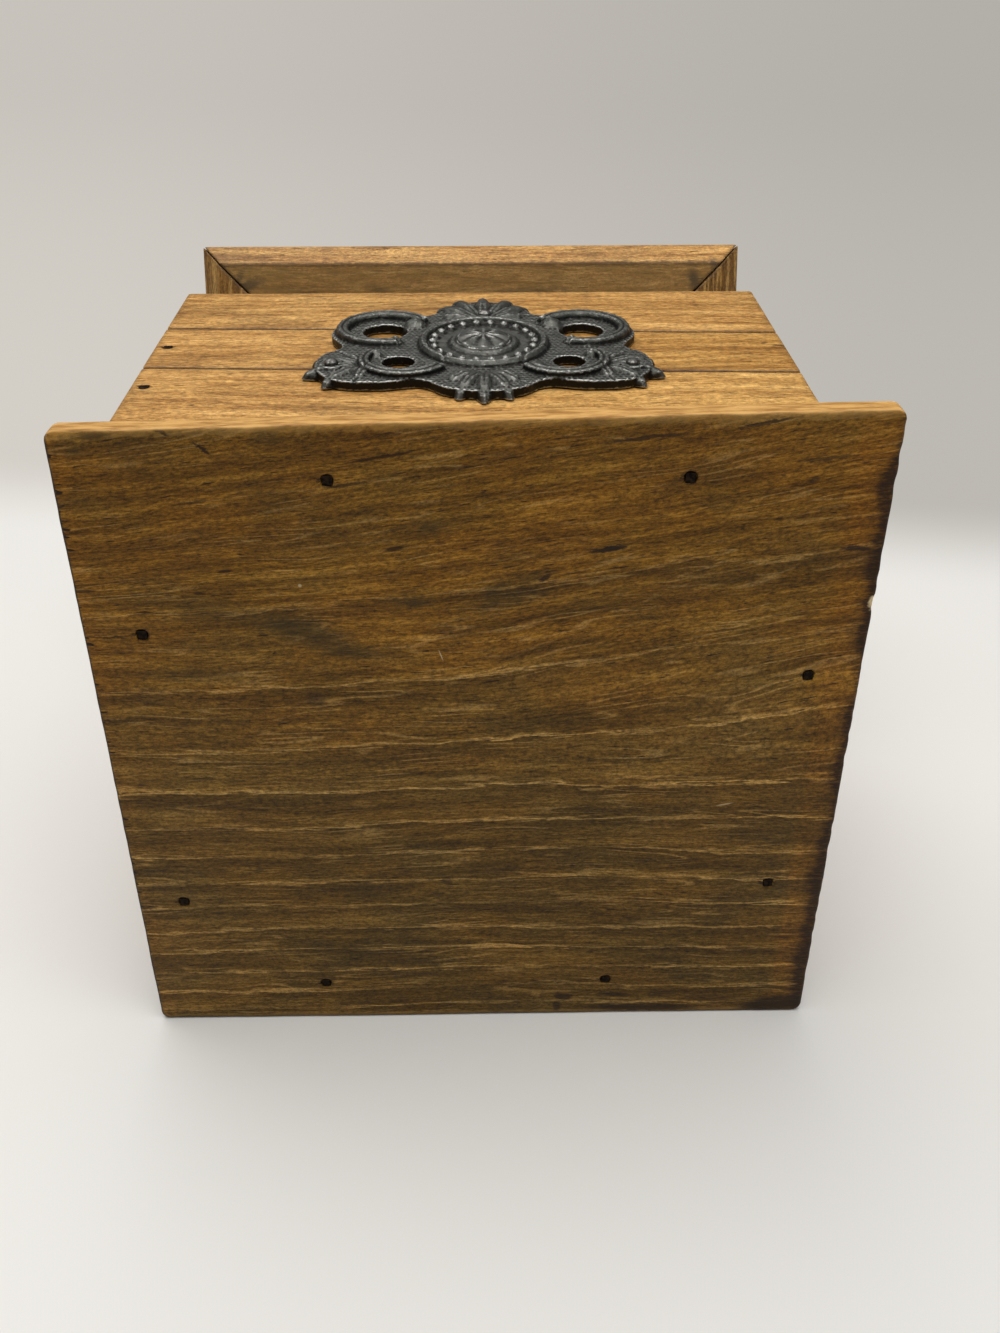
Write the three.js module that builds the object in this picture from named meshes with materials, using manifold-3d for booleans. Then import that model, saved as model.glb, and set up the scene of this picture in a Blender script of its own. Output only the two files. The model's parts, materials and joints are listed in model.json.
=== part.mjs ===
// A small dome-top keepsake box of pine boards, nailed together, with a cast metal plaque on its front.
// It lies on its back with the front wall facing up, and its lid has swung back until the dome rests
// on the table. Lengths are millimetres and angles are radians.
//
// The box is drawn standing on its base, with the front towards -Y and up along +Z. The lid is drawn
// closed, around the line of its hinge pins. The last section opens the lid and lays the box down.

import * as THREE from "three";
import { mergeVertices } from "three/addons/utils/BufferGeometryUtils.js";
import Module from "manifold-3d";

const wasm = await Module();
wasm.setup();

// Base board
const BASE_WIDTH = 152;
const BASE_DEPTH = 150;
const BASE_THICKNESS = 5;
const BASE_CORNER_RADIUS = 2.2;
const BASE_OVERHANG = 7.3;
// The base board was nailed on this far to the right of the box's middle, and its front edge was sawn
// askew: it runs out by this much more at the right corner, and by as much less at the left one.
const BASE_SHIFT = 1.1;
const BASE_FRONT_SKEW = 1.5;
const CORNER_SEGMENTS = 3;

// Walls
const RIM_HEIGHT = 100.5;
const WALL_THICKNESS = 8;
const UPPER_SLAT_WIDTH = 29;
const MIDDLE_SLAT_WIDTH = 25.5;
// The front boards were ripped by eye: their seams drop by this much from the middle to the right end.
const FRONT_SEAM_DROP = 2.4;

// Every glued joint keeps this much air, so that no two boards share a face.
const JOINT_GAP = 0.25;
// The worn arris on each board.
const ARRIS = 0.45;
// A cut that starts outside a board starts this far outside.
const CUT_MARGIN = 1;

// Square-headed nails
const NAIL_HEAD_SIDE = 1.9;
const NAIL_HEAD_THICKNESS = 0.8;
const NAIL_SHANK_SIDE = 1.1;
const NAIL_LENGTH = 17;
const NAIL_POINT = 2.5;
const NAIL_SINK = 0.2;
const NAIL_CLEARANCE = 0.1;
// How far along each wall its two base nails stand, as shares of the base board from its centre.
const FRONT_NAIL_SHARES = [-0.169, 0.261];
const BACK_NAIL_SHARES = [-0.231, 0.197];
const LEFT_NAIL_SHARES = [-0.211, 0.251];
const RIGHT_NAIL_SHARES = [-0.139, 0.227];
// How far the front one of each side wall's base nails was driven off the wall's middle, to the right.
const LEFT_NAIL_DRIFT = 1.2;
const RIGHT_NAIL_DRIFT = 1.8;
// The front boards' nails: distance from the end, and the share of the board's width that each is up.
const FRONT_NAIL_INSET = 3;
const LOWER_FRONT_NAIL_SHARE = 0.79;
const MIDDLE_FRONT_NAIL_SHARE = 0.6;

// Lid frame
const LID_GAP = 0.3;
const FRAME_THICKNESS = 10.5;
const RAIL_WIDTH = 18;
const FRAME_FRONT_OVERHANG = 7.2;
const FRAME_SIDE_OVERHANG = 6.3;
const FRAME_BACK_OVERHANG = 3.5;
const FRAME_BEVEL = 5;
const FRAME_TOP_ROUND = 0.9;

// Dome
const STAVE_COUNT = 9;
const STAVE_THICKNESS = 6;
const STAVE_ARRIS = 0.5;
const DOME_SET_IN = 0.5;
const END_PANEL_THICKNESS = 9;

// Butt hinges. The inset is from a side rail's inner edge to the middle of a hinge.
const HINGE_INSET = 18;
const HINGE_LENGTH = 24;
const LEAF_THICKNESS = 1.2;
const LEAF_WIDTH = 6.6;
const KNUCKLE_RADIUS = 1.8;
const KNUCKLE_COUNT = 3;
const KNUCKLE_GAP = 0.2;
const PIN_RADIUS = 0.8;
const PIN_CLEARANCE = 0.06;
const PIN_HEAD_RADIUS = 1.3;
const PIN_HEAD_LENGTH = 0.7;
const HINGE_SEGMENTS = 24;

// Countersunk screws of the hinges
const SCREW_HEAD_RADIUS = 1.5;
const SCREW_HEAD_DEPTH = 0.75;
const SCREW_SHANK_RADIUS = 0.75;
const SCREW_LENGTH = 6.5;
const SCREW_POINT = 1.5;
const SCREW_SLOT_WIDTH = 0.4;
const SCREW_SLOT_DEPTH = 0.35;
const SCREW_SINK = 0.1;
const SCREW_CLEARANCE = 0.12;
const SCREW_SPACING_SHARE = 0.58;
const SCREW_SEGMENTS = 12;

// Cast plaque: a lobed cartouche between scrolls and shells
const PLAQUE_WIDTH = 75;
const PLAQUE_HEIGHT = 64;
const PLAQUE_CENTRE_HEIGHT = 57.5;
const PLAQUE_CENTRE_X = 2.8;
const PLAQUE_WEB = 2.1;
const PLAQUE_RELIEF = 4.4;
const PLAQUE_SEAT_GAP = 0.1;
// The outer lobes of a shell are this share of the middle one.
const FAN_SIDE_SHARE = 0.35;
// A scroll's rounded edge, the size of its eyes and how far they sit in, as shares of its width.
const SCROLL_EASE_SHARE = 0.3;
const SCROLL_EYE_SHARE = 0.95;
const SCROLL_EYE_IN_SHARE = 0.55;
const SCROLL_STEPS = 14;

// Round-headed pins of the plaque
const TACK_HEAD_RADIUS = 1.5;
const TACK_HEAD_HEIGHT = 0.9;
const TACK_SHANK_RADIUS = 0.6;
const TACK_LENGTH = 8;
const TACK_POINT = 1.5;
const TACK_BOSS_RADIUS = 2.5;
const TACK_BOSS_HEIGHT = 2.7;
const TACK_CLEARANCE = 0.12;
const TACK_SEGMENTS = 12;

// Values that follow from the ones above
const BODY_WIDTH = BASE_WIDTH - 2 * BASE_OVERHANG;
const BODY_DEPTH = BASE_DEPTH - 2 * BASE_OVERHANG;
const FRONT_FACE = -BODY_DEPTH / 2;
const BACK_FACE = BODY_DEPTH / 2;
const SIDE_FACE = BODY_WIDTH / 2;
const WALL_FOOT = BASE_THICKNESS + JOINT_GAP;

const PIN_Y = BACK_FACE;
const PIN_Z = RIM_HEIGHT + LID_GAP / 2;
const FRAME_UNDERSIDE = RIM_HEIGHT + LID_GAP;
const FRAME_TOP = FRAME_UNDERSIDE + FRAME_THICKNESS;
const FRAME_FRONT = FRONT_FACE - FRAME_FRONT_OVERHANG;
const FRAME_BACK = BACK_FACE + FRAME_BACK_OVERHANG;
const FRAME_SIDE = SIDE_FACE + FRAME_SIDE_OVERHANG;
const HINGE_X = FRAME_SIDE - RAIL_WIDTH - HINGE_INSET;

const DOME_FOOT = FRAME_TOP + JOINT_GAP;
const DOME_RADIUS = BODY_DEPTH / 2 - DOME_SET_IN;
const HALF_STAVE_ANGLE = Math.PI / STAVE_COUNT / 2;
const STAVE_FACE_RADIUS = DOME_RADIUS * Math.cos(HALF_STAVE_ANGLE);

// Colours and finishes
const pine = { color: 0xa97a48, roughness: 0.62, metalness: 0 };
const goldenPine = { color: 0xb98648, roughness: 0.58, metalness: 0 };
const darkPine = { color: 0x7a5a38, roughness: 0.65, metalness: 0 };
const nailSteel = { color: 0x2a2420, roughness: 0.6, metalness: 0.8 };
const castMetal = { color: 0x4b4743, roughness: 0.42, metalness: 0.85 };
const brass = { color: 0xa98642, roughness: 0.4, metalness: 0.95 };

// Booleans: a geometry goes in as a closed solid and comes out flat shaded.
function solidOf(geometry) {
  const bare = geometry.clone();
  bare.deleteAttribute("normal");
  bare.deleteAttribute("uv");
  const merged = mergeVertices(bare, 1e-5);
  return new wasm.Manifold(
    new wasm.Mesh({
      numProp: 3,
      vertProperties: new Float32Array(merged.attributes.position.array),
      triVerts: new Uint32Array(merged.index.array),
    }),
  );
}

function geometryOf(solid) {
  const mesh = solid.getMesh();
  const geometry = new THREE.BufferGeometry();
  geometry.setAttribute("position", new THREE.BufferAttribute(mesh.vertProperties, 3));
  geometry.setIndex(new THREE.BufferAttribute(mesh.triVerts, 1));
  const flat = geometry.toNonIndexed();
  flat.computeVertexNormals();
  return flat;
}

function cut(geometry, tools) {
  let solid = solidOf(geometry);
  for (const tool of tools) {
    solid = solid.subtract(solidOf(tool));
  }
  return geometryOf(solid);
}

function join(geometries) {
  let solid = solidOf(geometries[0]);
  for (const geometry of geometries.slice(1)) {
    solid = solid.add(solidOf(geometry));
  }
  return geometryOf(solid);
}

// A block between two corners.
function block(low, high) {
  const size = new THREE.Vector3().subVectors(high, low);
  const centre = new THREE.Vector3().addVectors(low, high).multiplyScalar(0.5);
  const geometry = new THREE.BoxGeometry(size.x, size.y, size.z);
  geometry.translate(centre.x, centre.y, centre.z);
  return geometry;
}

// A board between two corners with every arris eased.
function easedBoard(low, high, ease) {
  const halfX = (high.x - low.x) / 2;
  const halfY = (high.y - low.y) / 2;
  const height = high.z - low.z;
  const outline = new THREE.Shape();
  outline.moveTo(-halfX + ease, -halfY);
  outline.lineTo(halfX - ease, -halfY);
  outline.lineTo(halfX, -halfY + ease);
  outline.lineTo(halfX, halfY - ease);
  outline.lineTo(halfX - ease, halfY);
  outline.lineTo(-halfX + ease, halfY);
  outline.lineTo(-halfX, halfY - ease);
  outline.lineTo(-halfX, -halfY + ease);
  const geometry = new THREE.ExtrudeGeometry(outline, {
    depth: height - 2 * ease,
    bevelThickness: ease,
    bevelSize: ease,
    bevelOffset: -ease,
    bevelSegments: 1,
  });
  geometry.translate((low.x + high.x) / 2, (low.y + high.y) / 2, low.z + ease);
  return geometry;
}

// A nail, screw or tack is turned about +Z and drawn with its head's face at the origin, pointing down.
// Its hole is the same profile grown by the clearance and carried on past the head.
function turned(profile, segments) {
  return new THREE.LatheGeometry(profile, segments);
}

function nailProfile(clearance, above) {
  const head = (NAIL_HEAD_SIDE / 2) * Math.SQRT2 + clearance * Math.SQRT2;
  const shank = (NAIL_SHANK_SIDE / 2) * Math.SQRT2 + clearance * Math.SQRT2;
  const neck = -NAIL_HEAD_THICKNESS - clearance;
  return [
    new THREE.Vector2(0, -NAIL_LENGTH - clearance),
    new THREE.Vector2(shank, -NAIL_LENGTH + NAIL_POINT - clearance),
    new THREE.Vector2(shank, neck),
    new THREE.Vector2(head, neck),
    new THREE.Vector2(head, above),
    new THREE.Vector2(0, above),
  ];
}

// A four-sided turning is square, and is turned by an eighth so that its sides follow the board's.
function nail(clearance, above) {
  const geometry = turned(nailProfile(clearance, above), 4);
  geometry.rotateY(Math.PI / 4);
  geometry.rotateX(Math.PI / 2);
  return geometry;
}

function screwProfile(clearance, above) {
  const head = SCREW_HEAD_RADIUS + clearance;
  const shank = SCREW_SHANK_RADIUS + clearance;
  return [
    new THREE.Vector2(0, -SCREW_LENGTH - clearance),
    new THREE.Vector2(shank, -SCREW_LENGTH + SCREW_POINT - clearance),
    new THREE.Vector2(shank, -SCREW_HEAD_DEPTH - clearance),
    new THREE.Vector2(head, -clearance),
    new THREE.Vector2(head, above),
    new THREE.Vector2(0, above),
  ];
}

function screwHole() {
  const geometry = turned(screwProfile(SCREW_CLEARANCE, CUT_MARGIN), SCREW_SEGMENTS);
  geometry.rotateX(Math.PI / 2);
  return geometry;
}

function screw() {
  const body = turned(screwProfile(0, 0), SCREW_SEGMENTS);
  body.rotateX(Math.PI / 2);
  const slot = block(
    new THREE.Vector3(-SCREW_HEAD_RADIUS - CUT_MARGIN, -SCREW_SLOT_WIDTH / 2, -SCREW_SLOT_DEPTH),
    new THREE.Vector3(SCREW_HEAD_RADIUS + CUT_MARGIN, SCREW_SLOT_WIDTH / 2, CUT_MARGIN),
  );
  return cut(body, [slot]);
}

// The tack is drawn with the underside of its head at the origin.
function tackShankProfile(clearance, above) {
  const shank = TACK_SHANK_RADIUS + clearance;
  return [
    new THREE.Vector2(0, -TACK_LENGTH - clearance),
    new THREE.Vector2(shank, -TACK_LENGTH + TACK_POINT - clearance),
    new THREE.Vector2(shank, above),
    new THREE.Vector2(0, above),
  ];
}

function tack() {
  const profile = [
    new THREE.Vector2(0, -TACK_LENGTH),
    new THREE.Vector2(TACK_SHANK_RADIUS, -TACK_LENGTH + TACK_POINT),
    new THREE.Vector2(TACK_SHANK_RADIUS, 0),
    new THREE.Vector2(TACK_HEAD_RADIUS, 0),
  ];
  const domeSteps = 4;
  for (let i = 1; i < domeSteps; i += 1) {
    const turn = ((Math.PI / 2) * i) / domeSteps;
    profile.push(
      new THREE.Vector2(TACK_HEAD_RADIUS * Math.cos(turn), TACK_HEAD_HEIGHT * Math.sin(turn)),
    );
  }
  profile.push(new THREE.Vector2(0, TACK_HEAD_HEIGHT));
  const geometry = turned(profile, TACK_SEGMENTS);
  geometry.rotateX(Math.PI / 2);
  return geometry;
}

function tackHole() {
  const geometry = turned(tackShankProfile(TACK_CLEARANCE, CUT_MARGIN), TACK_SEGMENTS);
  geometry.rotateX(Math.PI / 2);
  return geometry;
}

// Puts a part of the object into a group, with its own centre as its position.
function addPiece(group, name, geometry, finish) {
  geometry.computeBoundingBox();
  const centre = geometry.boundingBox.getCenter(new THREE.Vector3());
  geometry.translate(-centre.x, -centre.y, -centre.z);
  const mesh = new THREE.Mesh(geometry, new THREE.MeshStandardMaterial(finish));
  mesh.name = name;
  mesh.position.copy(centre);
  group.add(mesh);
  return mesh;
}

// Copies of a driven fastener: where its head lies, and which way it was driven.
const DRIVEN_UP = new THREE.Matrix4().makeRotationX(Math.PI);
const DRIVEN_DOWN = new THREE.Matrix4();
const DRIVEN_BACK = new THREE.Matrix4().makeRotationX(Math.PI / 2);
const DRIVEN_FORWARD = new THREE.Matrix4().makeRotationX(-Math.PI / 2);

function driven(geometry, direction, at) {
  const placed = geometry.clone();
  placed.applyMatrix4(direction);
  placed.translate(at.x, at.y, at.z);
  return placed;
}

const body = new THREE.Group();
const lid = new THREE.Group();

// Where each base nail stands: over the middle of the wall that it holds.
const wallMiddleX = SIDE_FACE - WALL_THICKNESS / 2;
const wallMiddleY = BACK_FACE - WALL_THICKNESS / 2;
const baseNails = [
  ["base_nail_front_left", FRONT_NAIL_SHARES[0] * BASE_WIDTH, -wallMiddleY],
  ["base_nail_front_right", FRONT_NAIL_SHARES[1] * BASE_WIDTH, -wallMiddleY],
  ["base_nail_back_left", BACK_NAIL_SHARES[0] * BASE_WIDTH, wallMiddleY],
  ["base_nail_back_right", BACK_NAIL_SHARES[1] * BASE_WIDTH, wallMiddleY],
  ["base_nail_left_front", LEFT_NAIL_DRIFT - wallMiddleX, LEFT_NAIL_SHARES[0] * BASE_DEPTH],
  ["base_nail_left_back", -wallMiddleX, LEFT_NAIL_SHARES[1] * BASE_DEPTH],
  ["base_nail_right_front", RIGHT_NAIL_DRIFT + wallMiddleX, RIGHT_NAIL_SHARES[0] * BASE_DEPTH],
  ["base_nail_right_back", wallMiddleX, RIGHT_NAIL_SHARES[1] * BASE_DEPTH],
];
const baseNailSpots = baseNails.map(([, x, y]) => new THREE.Vector3(x, y, NAIL_SINK));
const nailHole = nail(NAIL_CLEARANCE, CUT_MARGIN);
const baseNailHoles = baseNailSpots.map((at) => driven(nailHole, DRIVEN_UP, at));
baseNails.forEach(([name], i) => {
  addPiece(body, name, driven(nail(0, 0), DRIVEN_UP, baseNailSpots[i]), nailSteel);
});

// The base board: round corners, worn arrises, and a front edge that isn't quite square to its sides.
function baseBoard() {
  const halfX = BASE_WIDTH / 2;
  const halfY = BASE_DEPTH / 2;
  const round = BASE_CORNER_RADIUS;
  const rightFront = -halfY - BASE_FRONT_SKEW;
  const leftFront = -halfY + BASE_FRONT_SKEW;
  const outline = new THREE.Shape();
  outline.moveTo(-halfX + round, leftFront);
  outline.lineTo(halfX - round, rightFront);
  outline.absarc(halfX - round, rightFront + round, round, -Math.PI / 2, 0);
  outline.absarc(halfX - round, halfY - round, round, 0, Math.PI / 2);
  outline.absarc(-halfX + round, halfY - round, round, Math.PI / 2, Math.PI);
  outline.absarc(-halfX + round, leftFront + round, round, Math.PI, 1.5 * Math.PI);
  const geometry = new THREE.ExtrudeGeometry(outline, {
    depth: BASE_THICKNESS - 2 * ARRIS,
    bevelThickness: ARRIS,
    bevelSize: ARRIS,
    bevelOffset: -ARRIS,
    bevelSegments: 1,
    curveSegments: CORNER_SEGMENTS,
  });
  geometry.translate(BASE_SHIFT, 0, ARRIS);
  return cut(geometry, baseNailHoles);
}
addPiece(body, "base_board", baseBoard(), pine);

// The side boards stand between the front and back boards.
const sideBoardEnd = BACK_FACE - WALL_THICKNESS - JOINT_GAP;
function sideBoard(side) {
  const inner = side * (SIDE_FACE - WALL_THICKNESS);
  const outer = side * SIDE_FACE;
  const board = easedBoard(
    new THREE.Vector3(Math.min(inner, outer), -sideBoardEnd, WALL_FOOT),
    new THREE.Vector3(Math.max(inner, outer), sideBoardEnd, RIM_HEIGHT),
    ARRIS,
  );
  return cut(board, [...baseNailHoles, ...frontNailHoles]);
}

// The two nails that show in the left ends of the front boards.
const middleSlatTop = RIM_HEIGHT - UPPER_SLAT_WIDTH;
const lowerSlatTop = middleSlatTop - MIDDLE_SLAT_WIDTH;
const lowerNailHeight = BASE_THICKNESS + LOWER_FRONT_NAIL_SHARE * (lowerSlatTop - BASE_THICKNESS);
const middleNailHeight = lowerSlatTop + MIDDLE_FRONT_NAIL_SHARE * MIDDLE_SLAT_WIDTH;
const frontNails = [
  ["front_nail_lower_left", lowerNailHeight],
  ["front_nail_middle_left", middleNailHeight],
];
const frontNailSpots = frontNails.map(
  ([, z]) => new THREE.Vector3(-SIDE_FACE + FRONT_NAIL_INSET, FRONT_FACE + NAIL_SINK, z),
);
const frontNailHoles = frontNailSpots.map((at) => driven(nailHole, DRIVEN_BACK, at));
frontNails.forEach(([name], i) => {
  addPiece(body, name, driven(nail(0, 0), DRIVEN_BACK, frontNailSpots[i]), nailSteel);
});

addPiece(body, "left_side_board", sideBoard(-1), darkPine);
addPiece(body, "right_side_board", sideBoard(1), darkPine);

// The front and back walls are three boards each, the lowest the widest. Each row gives a board's foot
// and top, and which of its two edges follow the slant of the seams.
const slats = [
  { name: "lower", foot: WALL_FOOT, top: lowerSlatTop, footSlants: 0, topSlants: 1 },
  { name: "middle", foot: lowerSlatTop + JOINT_GAP, top: middleSlatTop, footSlants: 1, topSlants: 1 },
  { name: "upper", foot: middleSlatTop + JOINT_GAP, top: RIM_HEIGHT, footSlants: 1, topSlants: 0 },
];

// A board of the front or back wall. Its seam edges drop by seamDrop from the middle to the right end.
function slat(faceY, inwards, seamDrop, row, holes) {
  const innerY = faceY + inwards * WALL_THICKNESS;
  const board = easedBoard(
    new THREE.Vector3(-SIDE_FACE, Math.min(faceY, innerY), row.foot),
    new THREE.Vector3(SIDE_FACE, Math.max(faceY, innerY), row.top),
    ARRIS,
  );
  const corners = board.attributes.position;
  for (let i = 0; i < corners.count; i += 1) {
    const up = (corners.getZ(i) - row.foot) / (row.top - row.foot);
    const slant = row.footSlants * (1 - up) + row.topSlants * up;
    const drop = (seamDrop * slant * corners.getX(i)) / SIDE_FACE;
    corners.setZ(i, corners.getZ(i) - drop);
  }
  return cut(board, holes);
}

// The plaque's pins: their places on the front, from the middle of the plaque.
const TACK_SPOT_SHARES = [
  ["plaque_pin_top", 0.01, 0.5],
  ["plaque_pin_left", -0.83, -0.48],
  ["plaque_pin_right", 0.81, -0.5],
];
const plaqueFace = FRONT_FACE - PLAQUE_SEAT_GAP;
const tackSpots = TACK_SPOT_SHARES.map(
  ([, x, z]) =>
    new THREE.Vector3(
      PLAQUE_CENTRE_X + (x * PLAQUE_WIDTH) / 2,
      plaqueFace - TACK_BOSS_HEIGHT - PLAQUE_SEAT_GAP,
      PLAQUE_CENTRE_HEIGHT + (z * PLAQUE_HEIGHT) / 2,
    ),
);
const tackHoles = tackSpots.map((at) => driven(tackHole(), DRIVEN_BACK, at));
TACK_SPOT_SHARES.forEach(([name], i) => {
  addPiece(body, name, driven(tack(), DRIVEN_BACK, tackSpots[i]), castMetal);
});

for (const row of slats) {
  const holes = [...baseNailHoles, ...frontNailHoles, ...tackHoles];
  const board = slat(FRONT_FACE, 1, FRONT_SEAM_DROP, row, holes);
  addPiece(body, "front_slat_" + row.name, board, goldenPine);
}

// The plaque is drawn flat, facing +Z, in shares of its own half width and half height.
function lobe(footX, footY, direction, length, halfWidth, height) {
  const ellipsoid = new THREE.SphereGeometry(1, 12, 8);
  ellipsoid.scale(length / 2, halfWidth, height);
  ellipsoid.translate(length / 2, 0, 0);
  ellipsoid.rotateZ(direction);
  ellipsoid.translate(footX, footY, 0);
  return ellipsoid;
}

// A fan of lobes, the middle one longest, as on a shell or a palmette.
function fan(footX, footY, direction, count, spread, length, halfWidth, height) {
  const lobes = [];
  for (let i = 0; i < count; i += 1) {
    const off = (i / (count - 1) - 0.5) * spread;
    const reach = length * (FAN_SIDE_SHARE + (1 - FAN_SIDE_SHARE) * Math.cos(off));
    lobes.push(lobe(footX, footY, direction + off, reach, halfWidth, height));
  }
  return lobes;
}

// A C-scroll: a band along an arc that narrows towards its end, with a round eye at each end.
function scroll(centreX, centreY, radius, from, to, wide, narrow, height) {
  const steps = SCROLL_STEPS;
  const outer = [];
  const inner = [];
  for (let i = 0; i <= steps; i += 1) {
    const share = i / steps;
    const turn = from + (to - from) * share;
    const half = (wide + (narrow - wide) * share) / 2;
    outer.push(new THREE.Vector2(Math.cos(turn), Math.sin(turn)).multiplyScalar(radius + half));
    inner.push(new THREE.Vector2(Math.cos(turn), Math.sin(turn)).multiplyScalar(radius - half));
  }
  const points = to > from ? [...outer, ...inner.reverse()] : [...inner, ...outer.reverse()];
  const ease = narrow * SCROLL_EASE_SHARE;
  const band = new THREE.ExtrudeGeometry(new THREE.Shape(points), {
    depth: height - ease,
    bevelThickness: ease,
    bevelSize: ease,
    bevelOffset: -ease,
    bevelSegments: 2,
  });
  band.translate(centreX, centreY, 0);
  const eyes = [
    [from, wide],
    [to, narrow],
  ].map(([turn, width]) => {
    const eye = new THREE.SphereGeometry(1, 12, 8);
    eye.scale(width * SCROLL_EYE_SHARE, width * SCROLL_EYE_SHARE, height);
    const reach = radius - width * SCROLL_EYE_IN_SHARE;
    eye.translate(centreX + Math.cos(turn) * reach, centreY + Math.sin(turn) * reach, 0);
    return eye;
  });
  return [band, ...eyes];
}

// The thin web behind the motifs, by points of its right half from the top round to the bottom,
// as shares of the plaque's half width and half height.
const WEB_OUTLINE_SHARES = [
  [0.0, 0.86],
  [0.2, 0.78],
  [0.32, 0.56],
  [0.56, 0.58],
  [0.8, 0.44],
  [0.88, 0.16],
  [0.8, -0.1],
  [0.9, -0.26],
  [0.92, -0.5],
  [0.8, -0.72],
  [0.56, -0.76],
  [0.34, -0.72],
  [0.2, -0.86],
  [0.0, -0.92],
];
const WEB_OPENING_SHARES = [
  [0.57, 0.2, 0.13],
  [0.47, -0.4, 0.09],
];
// The cartouche: turned rings, drawn out to an oval. Radius share and height share of each step.
const CARTOUCHE_SIZE_SHARES = [0.37, 0.48];
const CARTOUCHE_CENTRE_SHARE = -0.06;
const CARTOUCHE_STEP_SHARES = [
  [0.0, 1.0],
  [0.22, 0.96],
  [0.4, 0.82],
  [0.5, 0.66],
  [0.54, 0.5],
  [0.66, 0.5],
  [0.7, 0.5],
  [0.86, 0.5],
  [0.89, 0.78],
  [0.95, 0.82],
  [1.0, 0.62],
  [1.0, -0.2],
  [0.0, -0.2],
];
const BEAD_COUNT = 22;
const BEAD_RING_SHARE = 0.78;
const BEAD_RADIUS_SHARE = 0.075;
const BEAD_CENTRE_SHARE = 0.55;

// The crest above, the pendant below and a shell on each side. Reaches are shares of the half height,
// lobes' half widths of the half width, rises of the relief, and directions are angles.
const FAN_SHARES = [
  {
    foot: [0, 0.4],
    direction: Math.PI / 2,
    count: 7,
    spread: 2.3,
    reach: 0.6,
    lobeHalf: 0.062,
    rise: 0.8,
  },
  {
    foot: [0, -0.56],
    direction: -Math.PI / 2,
    count: 5,
    spread: 1.7,
    reach: 0.44,
    lobeHalf: 0.057,
    rise: 0.75,
  },
  {
    foot: [0.62, -0.44],
    direction: -0.25,
    count: 5,
    spread: 2.1,
    reach: 0.455,
    lobeHalf: 0.054,
    rise: 0.7,
  },
];
// The scrolls of the right side: centres, radii and widths as shares, ends as angles.
const SCROLL_SHARES = [
  { centre: [0.57, 0.2], radius: 0.25, from: -1.9, to: 2.6, widths: [0.06, 0.092], rise: 0.85 },
  { centre: [0.44, -0.42], radius: 0.22, from: -2.7, to: 0.6, widths: [0.081, 0.054], rise: 0.8 },
];

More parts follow.
